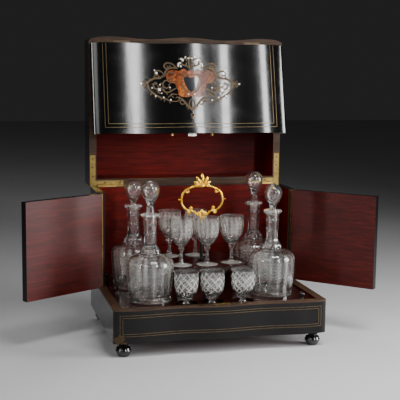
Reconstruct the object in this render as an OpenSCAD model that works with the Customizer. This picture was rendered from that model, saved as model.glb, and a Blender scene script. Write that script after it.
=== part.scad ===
/* [Case] */
// Width of the case over its side walls
case_w = 330; // [300:1:360]
// Depth of the case from its back to the crest of the front
case_d = 248; // [230:1:270]
// Height of the base box
base_h = 51.5; // [45:0.5:60]
// Height of the side walls, the doors and the front panel
wall_h = 151.5; // [146:0.5:170]
// Thickness of the side walls, the doors and the back
wall_t = 11; // [9:0.5:12]
// Thickness of the front at its crests
front_t = 12.5; // [11.5:0.5:14]
// How far the two valleys of the front lie behind its crests
valley_depth = 4; // [1:0.5:5]
// How far the front's corners lie behind its crests
corner_drop = 7.5; // [4:0.5:8]
// How far the outer crests lie from the middle
crest_x = 130; // [120:1:140]
// Depth of the fixed side walls behind the doors
side_wall_d = 88; // [80:1:95]
// Thickness of the base floor
floor_t = 8; // [6:0.5:10]
// Thickness of the wooden rim on the base
rim_t = 2.5; // [2:0.5:4]
// How far the rim's inner lip stands over the base cavity
rim_lip = 2; // [1:0.5:2]

/* [Feet] */
// Height of a bun foot
foot_h = 22; // [18:0.5:26]
// Radius of a bun foot
foot_r = 12; // [10:0.5:14]
// Distance from the case's edges to a foot's axis
foot_inset = 17; // [15:0.5:24]

/* [Lid] */
// Height of the lid
lid_h = 66; // [60:1:75]
// Thickness of the lid's walls
lid_wall = 12; // [10:0.5:13]
// Thickness of the lid's top board
lid_top_t = 12; // [8:0.5:14]
// How far the top board's edge stands in from the walls
lid_top_inset = 3; // [1:0.5:5]
// How far the lid's sides stand out over the case
lid_over = 1.5; // [0:0.5:3]
// Angle between the folded panel and the lid's rim
panel_stand_off = 13.3; // [8:0.1:18]

/* [Doors] */
// How far the left door stands open
left_door_open = 58.3; // [30:0.1:85]
// How far the right door stands open
right_door_open = 45.2; // [30:0.1:85]
// Gap between the doors and the front panel when all is shut
door_gap = 0.7; // [0.5:0.1:1.5]

/* [Hinges] */
// Gap where two moving edges meet
seam = 0.6; // [0.4:0.1:1]
// Thickness of a hinge leaf
leaf_t = 1.2; // [0.8:0.1:1.6]
// Outer radius of a hinge knuckle
knuckle_r = 2.6; // [2.3:0.1:3]
// Radius of a hinge pin
pin_r = 1.2; // [1:0.1:1.4]
// Radial running clearance of a pin in its knuckles
pin_fit = 0.06; // [0.03:0.01:0.1]
// Clearance round a knuckle
knuckle_room = 0.4; // [0.3:0.1:0.6]
// Width of a door hinge leaf
door_leaf_w = 8; // [6:0.5:9]
// Length of a lid hinge knuckle
lid_knuckle_l = 10; // [8:0.5:12]
// Distance from the case's side to the lid hinge
lid_hinge_inset = 12; // [11:0.5:20]
// Long arm of the lid's corner leaf, up the side
corner_arm_side = 52; // [35:1:60]
// Short arm of the lid's corner leaf, along the back
corner_arm_back = 56; // [48:1:70]
// Width of the corner leaf's arms
corner_arm_w = 9; // [7:0.5:10]
// Length of a panel hinge knuckle
panel_knuckle_l = 9; // [7:0.5:11]
// Distance from the middle to a panel hinge
panel_hinge_x = 112; // [95:1:125]
// Width of a panel hinge leaf
panel_leaf_w = 6; // [5:0.5:7]
// Radius of a screw's head
screw_r = 1.6; // [1.2:0.1:2]

/* [Lock] */
// Width of the lock case
lock_w = 34; // [28:1:44]
// Height of the lock case
lock_h = 32; // [26:1:36]
// Depth of the lock case
lock_d = 6; // [5:0.5:7]
// Width of the bolt
bolt_w = 14; // [10:0.5:18]
// Thickness of the bolt
bolt_t = 3.4; // [3:0.1:4]
// How far the bolt stands out when it is thrown
bolt_throw = 3.5; // [3:0.1:4.5]
// Clearance round the bolt
bolt_room = 0.3; // [0.2:0.05:0.5]
// Height of the keyhole above the panel's bottom edge
keyhole_z = 30.5; // [22:0.5:34]
// Radius of the round of the keyhole
keyhole_r = 2.4; // [2:0.1:3]
// Distance from the middle to a locating dowel
dowel_x = 34; // [28:1:42]
// Radius of a locating dowel
dowel_r = 2; // [1.6:0.1:2.5]
// Depth that a dowel is driven into the panel
dowel_l = 10; // [8:0.5:12]

/* [Rack] */
// Gap between the rack and the case round it
rack_room = 2; // [1.5:0.5:3]
// Thickness of the rack's bottom board
rack_board_t = 12; // [10:0.5:14]
// Height of the tray above the top of the base floor
deck_z = 41; // [38:0.5:44]
// Thickness of the tray and of the upper shelf
deck_t = 6; // [5:0.5:8]
// Height of the upper shelf above the tray
shelf_rise = 44.5; // [39:0.5:46]
// Half the width of the upper shelf
shelf_half_w = 68; // [66:1:74]
// Front edge of the upper shelf
shelf_front_y = -47; // [-50:1:-46]
// Back edge of the upper shelf
shelf_back_y = 80; // [76:1:88]
// Radius of the shelf's columns
column_r = 3.5; // [3:0.5:4.5]
// Radius of the turned finials on the tray
finial_r = 4.2; // [3.5:0.1:5]
// Height of the turned finials on the tray
finial_h = 12; // [9:0.5:15]

/* [Handle] */
// Position of the handle along the depth
handle_y = 15; // [10:1:20]
// Height of the handle's middle above the tray
handle_rise = 142; // [138:1:150]
// Radius of the handle's rounded ends
handle_end_r = 23; // [20:0.5:26]
// Half the straight run between the ends
handle_run = 12.5; // [8:0.5:16]
// Radius of the handle's bar
bar_r = 2.5; // [2:0.1:3.5]
// Radius of the handle's stem
stem_r = 3; // [2.5:0.1:4]
// Height of the palmette above the ring
palmette_h = 18; // [14:0.5:22]

/* [Decanters] */
// Greatest radius of a decanter
decanter_r = 36; // [32:0.5:37]
// Height of a decanter without its stopper
decanter_h = 134; // [125:1:136]
// Thickness of a decanter's wall
decanter_wall = 3.5; // [2.5:0.1:5]
// Radius of a decanter's neck
neck_r = 9.3; // [8.5:0.1:10.5]
// Radius of a decanter's lip
lip_r = 14.6; // [12:0.1:16]
// Radius of the bore in the neck
neck_bore_r = 6.3; // [5:0.1:7]
// Clearance between a stopper and the neck
stopper_room = 0.3; // [0.2:0.05:0.5]
// Length of a stopper's shank in the neck
shank_l = 14; // [10:0.5:18]
// Radius of a stopper's ball
ball_r = 14.5; // [12:0.5:16]
// Height of a stopper's ball over its neck
ball_h = 41; // [36:0.5:42]
// Depth of the wells that the decanters stand in
well_d = 2; // [1:0.5:3]

/* [Glasses] */
// Height of a glass
glass_h = 76; // [70:0.5:78]
// Radius of a glass at its rim
glass_r = 19; // [16:0.1:20]
// Radius of a glass's foot
glass_foot_r = 16.5; // [12:0.1:17]
// Height of a glass's foot and stem
glass_stem_h = 31; // [27:0.5:34]
// Thickness of a glass's wall
glass_wall = 1.6; // [1.2:0.1:2.2]
// Clearance under and round what stands loose
loose = 0.3; // [0.2:0.05:0.5]

/* [Hidden] */
$fn = 64;
bite = 0.02;
lid_open = 90;
outline_steps = 22;
ease_steps = 6;

// Levels above the floor
base_top = foot_h + base_h;
hinge_z = base_top + wall_h;
floor_top = foot_h + floor_t;
deck_top = floor_top + deck_z;
shelf_top = deck_top + shelf_rise;
panel_h = wall_h - seam;

// Places along the depth, with the case's middle at 0
back_y = case_d / 2;
crest_y = -case_d / 2;
fold_y = crest_y + front_t;
door_y = back_y - side_wall_d;
side_x = case_w / 2;
inner_x = side_x - wall_t;
inner_back_y = back_y - wall_t;
door_reach = sqrt(pow(door_y - fold_y - door_gap, 2) - wall_t * wall_t);

// The open doors and the open lid set the box round the whole object
x_low = -side_x - door_reach * sin(left_door_open);
x_high = side_x + door_reach * sin(right_door_open);
y_high = back_y + seam / 2 + lid_h;
shift = [-(x_low + x_high) / 2, -(crest_y + y_high) / 2, 0];

// The lift-out rack's edges, clear of the rim's opening
rack_x = inner_x - rim_lip - rack_room;
rack_front_y = fold_y + rim_lip / 2 + rack_room;
rack_back_y = inner_back_y - rim_lip - rack_room;

// Decanters stand outside a line at a share of the rack's half width, and at shares of its depth
decanter_line = rack_x * 0.6;
decanter_at = [
  [-decanter_line - 8, -rack_back_y * 0.4954],
  [decanter_line + 9.5, -rack_back_y * 0.422],
  [-decanter_line - 16, rack_back_y * 0.422],
  [decanter_line + 7, rack_back_y * 0.4312]];
stopper_rise = [10, 0, 0, 10];

// Glasses stand at shares of the rack's half width and depth
shelf_glass_at = [
  [-rack_x * 0.28, -rack_back_y * 0.2], [0, -rack_back_y * 0.2], [rack_x * 0.28, -rack_back_y * 0.13],
  [-rack_x * 0.293, rack_back_y * 0.5229], [0, rack_back_y * 0.5229]];
tray_glass_at = [
  [-rack_x * 0.3233, -rack_back_y * 0.789], [-rack_x * 0.0533, -rack_back_y * 0.789],
  [rack_x * 0.2707, -rack_back_y * 0.789]];

// Knobs stand inside the tray's edges, and columns inside the shelf's
knob_in = 8;
knob_corner_in = 18;
knob_front_in = 8.5;
knob_back_in = 13;
knob_middle_y = -4;
finial_at = [for (side = [-1, 1]) each [
  [side * (rack_x - knob_corner_in), rack_front_y + knob_front_in],
  [side * (rack_x - knob_in), knob_middle_y],
  [side * (rack_x - knob_in), rack_back_y - knob_back_in]]];
column_in = 18;
rear_column_x = 24;
column_front_in = 7;
column_back_in = 6;
column_at = [for (side = [-1, 1]) each [
  [side * (shelf_half_w - column_in), shelf_front_y + column_front_in],
  [side * rear_column_x, shelf_back_y - column_back_in]]];

// Middle of the bolt and the dowels in the front's thickness
bolt_y = fold_y - lock_d / 2;

// Small gaps and margins of the brasswork
knuckle_gap = 0.2;
door_knuckle_gap = 0.15;
strip_end = 0.5;
leaf_in = 1.5;
corner_leaf_in = 1.2;
screws_per_door_leaf = 5;
side_screw_shares = [0.2308, 0.5192, 0.7885];
back_screw_shares = [0.3571, 0.8214];
screw_off_line = 1.5;
pin_overrun = 1;
striker_margin = 5;
striker_front = 4;
striker_rear = 3;
swing_room = 2.6;
swing_room_rear = 0.8;
dowel_arc = 2.4;
dowel_fit = 0.6;
lock_up = 1.5;
escutcheon_t = 1.6;
escutcheon_sunk = 1.2;
keyhole_fit = 0.5;
keyhole_web = 0.3;

// How far the front lies behind its crest at a distance x from the middle
function front_dip(x) =
  abs(x) <= crest_x
    ? valley_depth * (1 - cos(360 * x / crest_x)) / 2
    : corner_drop * (1 - sqrt(1 - pow((abs(x) - crest_x) / (side_x - crest_x), 2)));

// Places across the front, closer together where its corners turn
function front_xs() = concat(
  [for (i = [0 : outline_steps]) -crest_x + 2 * crest_x * i / outline_steps],
  [for (i = [1 : 5]) crest_x + (side_x - crest_x) * sin(18 * i)]);

function front_points() = concat(
  [for (i = [5 : -1 : 1]) let (x = -crest_x - (side_x - crest_x) * sin(18 * i)) [x, crest_y + front_dip(x)]],
  [for (x = front_xs()) [x, crest_y + front_dip(x)]]);

// Points eased between rings, each ring given as height and radius
function eased(rings) = concat(
  [for (i = [0 : len(rings) - 2])
    for (k = [0 : ease_steps - 1])
      let (t = (1 - cos(180 * k / ease_steps)) / 2, a = rings[i], b = rings[i + 1])
      [a[1] + (b[1] - a[1]) * t, a[0] + (b[0] - a[0]) * k / ease_steps]],
  [[rings[len(rings) - 1][1], rings[len(rings) - 1][0]]]);

// A rounded end over a widest ring, as quarter of an ellipse
function capped(z, radius, rise) =
  [for (k = [1 : ease_steps]) let (a = 90 * k / ease_steps) [radius * cos(a), z + rise * sin(a)]];

module place() {
  translate(shift) children();
}

// Shapes drawn shut are turned about the lid's hinge line to stand open
module open_lid() {
  place()
    translate([0, back_y, hinge_z])
      rotate([-lid_open, 0, 0])
        translate([0, -back_y, -hinge_z]) children();
}

// The panel is drawn shut, then folded in under the lid and opened with it
module fold_panel() {
  open_lid()
    translate([0, fold_y, hinge_z])
      rotate([90 - panel_stand_off, 0, 0])
        translate([0, -fold_y, -hinge_z]) children();
}

// A door is drawn shut and turned about its outer rear corner, side -1 or 1
module swing_door(side, angle) {
  place()
    translate([side * side_x, door_y, 0])
      rotate([0, 0, side * angle])
        translate([-side * side_x, -door_y, 0]) children();
}

module plan_outline(over = 0) {
  width_share = (side_x + over) / side_x;
  polygon(concat(
    [for (p = front_points()) [p[0] * width_share, p[1]]],
    [[side_x + over, back_y], [-side_x - over, back_y]]));
}

module plan_ring(over = 0, wall = wall_t, lip = 0) {
  difference() {
    plan_outline(over);
    translate([-side_x - over + wall + lip, fold_y + lip])
      square([2 * (side_x + over - wall - lip), back_y - wall - fold_y - 2 * lip]);
  }
}

module along_x(x0, length, radius) {
  translate([x0, 0, 0]) rotate([0, 90, 0]) cylinder(r = radius, h = length);
}

// A keyhole with a round top and a straight slot below it
module keyhole_shape(grow = 0) {
  circle(r = keyhole_r + grow);
  translate([-keyhole_r * 0.5 - grow, -keyhole_r * 2.6 - grow])
    square([keyhole_r + 2 * grow, keyhole_r * 2.6 + grow]);
}

module base_walls() {
  color("black") place() difference() {
    translate([0, 0, foot_h]) linear_extrude(base_h - rim_t) plan_ring();
    lock_pockets();
  }
}

// Holes in the base's front for the bolt and the dowels, wide enough for their arc
module lock_pockets() {
  depth = bolt_throw + 2;
  translate([-bolt_w / 2 - 1, bolt_y - bolt_t / 2 - swing_room, base_top - depth])
    cube([bolt_w + 2, bolt_t + swing_room + swing_room_rear, depth + 1]);
  for (side = [-1, 1])
    for (dy = [0, -dowel_arc])
      translate([side * dowel_x, bolt_y + dy, base_top - depth])
        cylinder(r = dowel_r + dowel_fit, h = depth + 1);
}

module base_floor() {
  color("saddlebrown") place()
    translate([-side_x + wall_t, fold_y, foot_h])
      cube([2 * (side_x - wall_t), back_y - wall_t - fold_y, floor_t]);
}

module base_rim() {
  color("peru") place() difference() {
    translate([0, 0, base_top - rim_t]) linear_extrude(rim_t) difference() {
      plan_outline();
      translate([-inner_x + rim_lip, fold_y + rim_lip / 2])
        square([2 * (inner_x - rim_lip), inner_back_y - fold_y - rim_lip * 1.5]);
    }
    lock_pockets();
    translate([0, 0, base_top - leaf_t]) linear_extrude(leaf_t + 1) striker_outline();
  }
}

module foot(x, y) {
  rings = [
    [0, foot_r * 0.62], [foot_h * 0.42, foot_r], [foot_h * 0.82, foot_r * 0.55], [foot_h, foot_r * 0.82]];
  color("black") place() translate([x, y, 0])
    rotate_extrude() polygon(concat([[0, 0]], eased(rings), [[0, foot_h]]));
}

foot_x = side_x - foot_inset;
foot_front_y = crest_y + front_dip(side_x - foot_inset) + foot_inset;
foot_rear_y = back_y - foot_inset;
module foot_front_left() { foot(-foot_x, foot_front_y); }
module foot_front_right() { foot(foot_x, foot_front_y); }
module foot_rear_left() { foot(-foot_x, foot_rear_y); }
module foot_rear_right() { foot(foot_x, foot_rear_y); }

// Room for the lid's knuckles, at both rear corners
module lid_knuckle_room() {
  for (side = [-1, 1])
    translate([lid_hinge_x(side), back_y, hinge_z])
      along_x(-knuckle_room, 3 * lid_knuckle_l + 3 * knuckle_room, knuckle_r + knuckle_room);
}

// Length and left end of each lid hinge
lid_hinge_l = 3 * lid_knuckle_l + 2 * knuckle_gap;
function lid_hinge_x(side) =
  side < 0 ? -side_x + lid_hinge_inset : side_x - lid_hinge_inset - lid_hinge_l;

module back_wall() {
  color("sienna") place() difference() {
    translate([-inner_x, inner_back_y, base_top])
      cube([2 * inner_x, wall_t, wall_h - seam / 2]);
    lid_knuckle_room();
    case_leaf_plates();
  }
}

module side_wall(side) {
  color("black") place() difference() {
    translate([side < 0 ? -side_x : inner_x, door_y + seam / 2, base_top])
      cube([wall_t, side_wall_d - seam / 2, wall_h - seam / 2]);
    door_knuckle_room(side);
    door_leaf_plate(side, 1);
    lid_knuckle_room();
    case_leaf_plates();
  }
}
module side_wall_left() { side_wall(-1); }
module side_wall_right() { side_wall(1); }

// Five knuckles up each door hinge, the even ones on the case
knuckle_count = 5;
strip_z = base_top + seam;
strip_h = wall_h - 2 * seam - 2 * strip_end;
door_knuckle_l = strip_h / knuckle_count;

module door_knuckle_room(side) {
  translate([side * side_x, door_y, base_top - 1])
    cylinder(r = knuckle_r + knuckle_room, h = wall_h + 2);
}

// The plate of a door hinge, toward the back on the case and the front on the door
module door_leaf_plate(side, toward) {
  plate_y = toward > 0 ? door_y + seam / 2 - bite : door_y - seam / 2 - leaf_t + bite;
  translate([side < 0 ? -side_x : side_x - door_leaf_w, plate_y, strip_z])
    cube([door_leaf_w, leaf_t, strip_h]);
}

module door_knuckles(side, first) {
  for (i = [first : 2 : knuckle_count - 1])
    translate([side * side_x, door_y, strip_z + i * door_knuckle_l + door_knuckle_gap])
      cylinder(r = knuckle_r, h = door_knuckle_l - 2 * door_knuckle_gap);
}

module door_leaf(side, toward) {
  first = toward > 0 ? 0 : 1;
  difference() {
    union() {
      difference() {
        door_leaf_plate(side, toward);
        for (i = [1 - first : 2 : knuckle_count - 1])
          translate([side * side_x, door_y, strip_z + i * door_knuckle_l - door_knuckle_gap])
            cylinder(r = knuckle_r + knuckle_room, h = door_knuckle_l + 2 * door_knuckle_gap);
      }
      door_knuckles(side, first);
    }
    translate([side * side_x, door_y, base_top]) cylinder(r = pin_r + pin_fit, h = wall_h);
    screw_spots(side, toward, leaf_t + 2);
  }
}

// Screws up a door hinge leaf
module screw_spots(side, toward, depth) {
  pitch = strip_h / screws_per_door_leaf;
  for (i = [0 : screws_per_door_leaf - 1])
    translate([side * (side_x - door_leaf_w * 0.66), door_y, strip_z + pitch * (i + 0.5)])
      rotate([-90 * toward, 0, 0])
        translate([0, 0, seam / 2 - bite])
          cylinder(r = screw_r, h = depth);
}

module door_hinge_case_leaves() {
  color("goldenrod") place() {
    door_leaf(-1, 1);
    door_leaf(1, 1);
  }
}

module door_hinge_pins() {
  color("goldenrod") place()
    for (side = [-1, 1])
      translate([side * side_x, door_y, strip_z])
        cylinder(r = pin_r, h = strip_h);
}

module case_screws() {
  color("gold") place()
    for (side = [-1, 1])
      screw_spots(side, 1, leaf_t);
}

module striker_outline() {
  translate([-bolt_w / 2 - striker_margin, bolt_y - bolt_t / 2 - striker_front])
    square([bolt_w + 2 * striker_margin, bolt_t + striker_front + striker_rear]);
}

module striker_plate() {
  color("goldenrod") place() difference() {
    translate([0, 0, base_top - leaf_t]) linear_extrude(leaf_t) striker_outline();
    lock_pockets();
  }
}

// The flat leaves of the lid hinges, let into the top of the case
module case_leaf_plates() {
  for (side = [-1, 1])
    translate([lid_hinge_x(side), inner_back_y + leaf_in, hinge_z - seam / 2 - leaf_t])
      cube([lid_hinge_l, wall_t - leaf_in, leaf_t + 1]);
}

// Three knuckles on each lid hinge, the middle one on the lid
module lid_knuckle(side, i) {
  translate([lid_hinge_x(side) + i * (lid_knuckle_l + knuckle_gap), back_y, hinge_z])
    along_x(0, lid_knuckle_l, knuckle_r);
}

module lid_knuckle_gap(side, i) {
  translate([lid_hinge_x(side) + i * (lid_knuckle_l + knuckle_gap), back_y, hinge_z])
    along_x(-knuckle_gap, lid_knuckle_l + 2 * knuckle_gap, knuckle_r + knuckle_room);
}

module lid_pin_bore() {
  for (side = [-1, 1])
    translate([lid_hinge_x(side), back_y, hinge_z])
      along_x(-pin_overrun, lid_hinge_l + 2 * pin_overrun, pin_r + pin_fit);
}

module lid_hinge_case_leaves() {
  color("goldenrod") place() difference() {
    for (side = [-1, 1]) {
      difference() {
        translate([lid_hinge_x(side), inner_back_y + leaf_in, hinge_z - seam / 2 - leaf_t])
          cube([lid_hinge_l, wall_t - leaf_in, leaf_t]);
        lid_knuckle_gap(side, 1);
      }
      lid_knuckle(side, 0);
      lid_knuckle(side, 2);
    }
    lid_pin_bore();
  }
}

module lid_hinge_pins() {
  color("goldenrod") place()
    for (side = [-1, 1])
      translate([lid_hinge_x(side), back_y, hinge_z])
        along_x(0, lid_hinge_l, pin_r);
}

// The corner leaf, L shaped, let into the lid's rim and drawn shut
module corner_leaf_outline(side) {
  corner_x = side_x + lid_over - corner_leaf_in;
  x_out = side < 0 ? -corner_x : corner_x - corner_arm_w;
  x_back = side < 0 ? -corner_x : corner_x - corner_arm_back;
  translate([x_out, back_y - corner_arm_side]) square([corner_arm_w, corner_arm_side]);
  translate([x_back, back_y - corner_arm_w]) square([corner_arm_back, corner_arm_w]);
}

function corner_screws(side) =
  let (x = side * (side_x + lid_over - corner_leaf_in - corner_arm_w / 2), y = back_y - corner_arm_w / 2)
  concat(
    [for (share = side_screw_shares) [x, y - corner_arm_side * share]],
    [for (share = back_screw_shares) [x - side * corner_arm_back * share, y - screw_off_line]]);

module corner_leaf_plates(side) {
  translate([0, 0, hinge_z + seam / 2 - bite]) linear_extrude(leaf_t) corner_leaf_outline(side);
}

module corner_screw_set(side, depth) {
  for (p = corner_screws(side))
    translate([p[0], p[1], hinge_z + seam / 2 - bite]) cylinder(r = screw_r, h = depth);
}

module lid_corner_leaves() {
  color("goldenrod") open_lid()
    for (side = [-1, 1])
      difference() {
        union() {
          difference() {
            corner_leaf_plates(side);
            lid_knuckle_gap(side, 0);
            lid_knuckle_gap(side, 2);
          }
          lid_knuckle(side, 1);
        }
        lid_pin_bore();
        corner_screw_set(side, leaf_t + 1);
      }
}

module lid_screws() {
  color("gold") open_lid()
    for (side = [-1, 1])
      corner_screw_set(side, leaf_t);
}

module lid_frame() {
  color("black") open_lid() difference() {
    translate([0, 0, hinge_z + seam / 2])
      linear_extrude(lid_h - lid_top_t)
        plan_ring(lid_over, lid_wall);
    lid_knuckle_room();
    for (side = [-1, 1]) corner_leaf_plates(side);
    panel_leaf_plates(1);
    panel_knuckle_room();
  }
}

module lid_top() {
  share = (side_x + lid_over - lid_top_inset) / (side_x + lid_over);
  color("black") open_lid()
    translate([0, 0, hinge_z + seam / 2 + lid_h - lid_top_t])
      linear_extrude(lid_top_t)
        scale(share) plan_outline(lid_over);
}

// The panel's two hinges, with the outer knuckles on the lid
panel_hinge_l = 3 * panel_knuckle_l + 2 * knuckle_gap;

module panel_knuckle_room() {
  room_l = panel_hinge_l + 6 * knuckle_gap;
  for (side = [-1, 1])
    translate([side * panel_hinge_x, fold_y, hinge_z])
      along_x(-room_l / 2, room_l, knuckle_r + knuckle_room);
}

module panel_leaf_plates(toward) {
  plate_z = toward > 0 ? hinge_z + seam / 2 - bite : hinge_z - seam / 2 - leaf_t + bite;
  for (side = [-1, 1])
    translate([side * panel_hinge_x - panel_hinge_l / 2, fold_y - panel_leaf_w, plate_z])
      cube([panel_hinge_l, panel_leaf_w, leaf_t]);
}

module panel_knuckle(side, i) {
  translate([side * panel_hinge_x + (i - 1) * (panel_knuckle_l + knuckle_gap), fold_y, hinge_z])
    along_x(-panel_knuckle_l / 2, panel_knuckle_l, knuckle_r);
}

module panel_knuckle_gap(side, i) {
  translate([side * panel_hinge_x + (i - 1) * (panel_knuckle_l + knuckle_gap), fold_y, hinge_z])
    along_x(-panel_knuckle_l / 2 - knuckle_gap, panel_knuckle_l + 2 * knuckle_gap, knuckle_r + knuckle_room);
}

module panel_pin_bore() {
  for (side = [-1, 1])
    translate([side * panel_hinge_x, fold_y, hinge_z])
      along_x(-panel_hinge_l / 2 - pin_overrun, panel_hinge_l + 2 * pin_overrun, pin_r + pin_fit);
}

module panel_hinge_lid_leaves() {
  color("goldenrod") open_lid() difference() {
    union() {
      difference() {
        panel_leaf_plates(1);
        for (side = [-1, 1]) panel_knuckle_gap(side, 1);
      }
      for (side = [-1, 1]) {
        panel_knuckle(side, 0);
        panel_knuckle(side, 2);
      }
    }
    panel_pin_bore();
  }
}

module panel_hinge_pins() {
  color("goldenrod") open_lid()
    for (side = [-1, 1])
      translate([side * panel_hinge_x, fold_y, hinge_z])
        along_x(-panel_hinge_l / 2, panel_hinge_l, pin_r);
}

module panel_hinge_leaves() {
  color("goldenrod") fold_panel() difference() {
    union() {
      difference() {
        panel_leaf_plates(-1);
        for (side = [-1, 1]) {
          panel_knuckle_gap(side, 0);
          panel_knuckle_gap(side, 2);
        }
      }
      for (side = [-1, 1]) panel_knuckle(side, 1);
    }
    panel_pin_bore();
  }
}

// The lock lies in a pocket in the panel's inner face, above its bottom edge
lock_z = base_top + seam / 2 + lock_up;
lock_cap_in = 0.2;

module front_panel() {
  color("black") fold_panel() difference() {
    translate([0, 0, base_top + seam / 2])
      linear_extrude(panel_h) difference() {
        plan_outline();
        translate([-side_x - 1, fold_y]) square([case_w + 2, case_d]);
      }
    panel_leaf_plates(-1);
    panel_knuckle_room();
    translate([-lock_w / 2, fold_y - lock_d, lock_z]) cube([lock_w, lock_d + 1, lock_h]);
    translate([-bolt_w / 2 - bolt_room, bolt_y - bolt_t / 2 - bolt_room, base_top])
      cube([bolt_w + 2 * bolt_room, bolt_t + 2 * bolt_room, lock_z - base_top + 1]);
    for (side = [-1, 1])
      translate([side * dowel_x, bolt_y, base_top])
        cylinder(r = dowel_r, h = dowel_l);
    translate([0, fold_y + 1, base_top + keyhole_z])
      rotate([90, 0, 0]) linear_extrude(front_t + 2) keyhole_shape(keyhole_fit);
  }
}

module lock_case() {
  color("goldenrod") fold_panel() difference() {
    translate([-lock_w / 2, fold_y - lock_d, lock_z]) cube([lock_w, lock_d - lock_cap_in, lock_h]);
    translate([-bolt_w / 2 - bolt_room, bolt_y - bolt_t / 2 - bolt_room, lock_z - 1])
      cube([bolt_w + 2 * bolt_room, bolt_t + 2 * bolt_room, lock_h * 0.62 + 1]);
    translate([0, fold_y + 1, base_top + keyhole_z])
      rotate([90, 0, 0]) linear_extrude(lock_d + 2) keyhole_shape(lock_cap_in);
  }
}

module lock_bolt() {
  bolt_bottom = base_top + seam / 2 - bolt_throw;
  color("goldenrod") fold_panel()
    translate([-bolt_w / 2, bolt_y - bolt_t / 2, bolt_bottom])
      cube([bolt_w, bolt_t, bolt_throw + lock_up + lock_h * 0.35]);
}

module keyhole_escutcheon() {
  color("goldenrod") fold_panel()
    translate([0, crest_y + escutcheon_sunk, base_top + keyhole_z])
      rotate([90, 0, 0]) linear_extrude(escutcheon_t) difference() {
        keyhole_shape(keyhole_fit);
        keyhole_shape(-keyhole_web);
      }
}

module locating_dowels() {
  dowel_bottom = seam / 2 - bolt_throw + 0.5;
  color("goldenrod") fold_panel()
    for (side = [-1, 1])
      translate([side * dowel_x, bolt_y, base_top + dowel_bottom])
        cylinder(r = dowel_r, h = dowel_l - dowel_bottom);
}

module door(side, angle) {
  color("firebrick") swing_door(side, angle) difference() {
    translate([side < 0 ? -side_x : inner_x, door_y - door_reach, base_top + seam])
      cube([wall_t, door_reach - seam / 2, wall_h - 2 * seam]);
    door_knuckle_room(side);
    door_leaf_plate(side, -1);
  }
}

module door_leaf_on_door(side, angle) {
  color("goldenrod") swing_door(side, angle) door_leaf(side, -1);
}
module door_left() { door(-1, left_door_open); }
module door_right() { door(1, right_door_open); }
module door_left_leaf() { door_leaf_on_door(-1, left_door_open); }
module door_right_leaf() { door_leaf_on_door(1, right_door_open); }

module rack_plan(round_r = 6) {
  for (x = [-rack_x + round_r, rack_x - round_r])
    for (y = [rack_front_y + round_r, rack_back_y - round_r])
      translate([x, y]) circle(r = round_r);
  translate([-rack_x + round_r, rack_front_y]) square([2 * (rack_x - round_r), rack_back_y - rack_front_y]);
  translate([-rack_x, rack_front_y + round_r]) square([2 * rack_x, rack_back_y - rack_front_y - 2 * round_r]);
}

board_top = floor_top + loose + rack_board_t;
post_in = 9;

module rack_board() {
  color("black") place() translate([0, 0, floor_top + loose]) linear_extrude(rack_board_t) rack_plan();
}

module rack_posts() {
  color("black") place()
    for (x = [-rack_x + post_in, rack_x - post_in])
      for (y = [rack_front_y + post_in, rack_back_y - post_in])
        translate([x, y, board_top]) cylinder(r = column_r, h = deck_top - deck_t - board_top);
}

module rack_tray() {
  color("black") place() difference() {
    translate([0, 0, deck_top - deck_t]) linear_extrude(deck_t) rack_plan();
    for (p = decanter_at)
      translate([p[0], p[1], deck_top - well_d])
        cylinder(r = decanter_r * 0.89 + 1, h = well_d + 1);
    for (p = tray_glass_at)
      translate([p[0], p[1], deck_top - deck_t - 1])
        cylinder(r = glass_foot_r + 1.5, h = deck_t + 2);
  }
}

module rack_columns() {
  rings = [[0, column_r * 1.3], [3, column_r * 1.3], [7, column_r * 0.8],
    [(shelf_rise - deck_t) / 2, column_r * 1.15], [shelf_rise - deck_t - 6, column_r * 0.8],
    [shelf_rise - deck_t, column_r * 1.3]];
  color("black") place()
    for (p = column_at)
      translate([p[0], p[1], deck_top])
        rotate_extrude() polygon(concat([[0, 0]], eased(rings), [[0, shelf_rise - deck_t]]));
}

module rack_shelf() {
  color("black") place() difference() {
    translate([-shelf_half_w, shelf_front_y, shelf_top - deck_t])
      cube([2 * shelf_half_w, shelf_back_y - shelf_front_y, deck_t]);
    for (p = decanter_at)
      translate([p[0], p[1], shelf_top - deck_t - 1])
        cylinder(r = decanter_r + 2, h = deck_t + 2);
    for (p = shelf_glass_at)
      translate([p[0], p[1], shelf_top - 1])
        cylinder(r = glass_foot_r + 1, h = 2);
  }
}

module tray_finials() {
  rings = [[0, finial_r * 0.8], [finial_h * 0.18, finial_r * 0.45], [finial_h * 0.62, finial_r]];
  color("black") place()
    for (p = finial_at)
      translate([p[0], p[1], deck_top])
        rotate_extrude() polygon(concat([[0, 0]], eased(rings),
          capped(finial_h * 0.62, finial_r, finial_h * 0.38)));
}

handle_z = deck_top + handle_rise;
drop_leaf_w = palmette_h * 0.72;
drop_leaf_up = palmette_h * 0.28;
drop_leaf_l = drop_leaf_w + bar_r;
drop_leaf_z = handle_z - handle_end_r + drop_leaf_up;
leaf_thick = bar_r * 1.6;
// How much thicker the ring's straight runs are than its ends
bar_swell = 1.12;

module handle_stem() {
  color("gold") place() translate([0, handle_y, shelf_top])
    cylinder(r = stem_r, h = drop_leaf_z - drop_leaf_l - shelf_top);
}

// Half of the ring's round end, lying in the plane of X and Z
module ring_end(side) {
  translate([side * handle_run, 0, 0])
    rotate([90, 0, 0])
      rotate([0, 0, side > 0 ? -90 : 90])
        rotate_extrude(angle = 180) translate([handle_end_r, 0]) circle(r = bar_r, $fn = 32);
}

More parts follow.
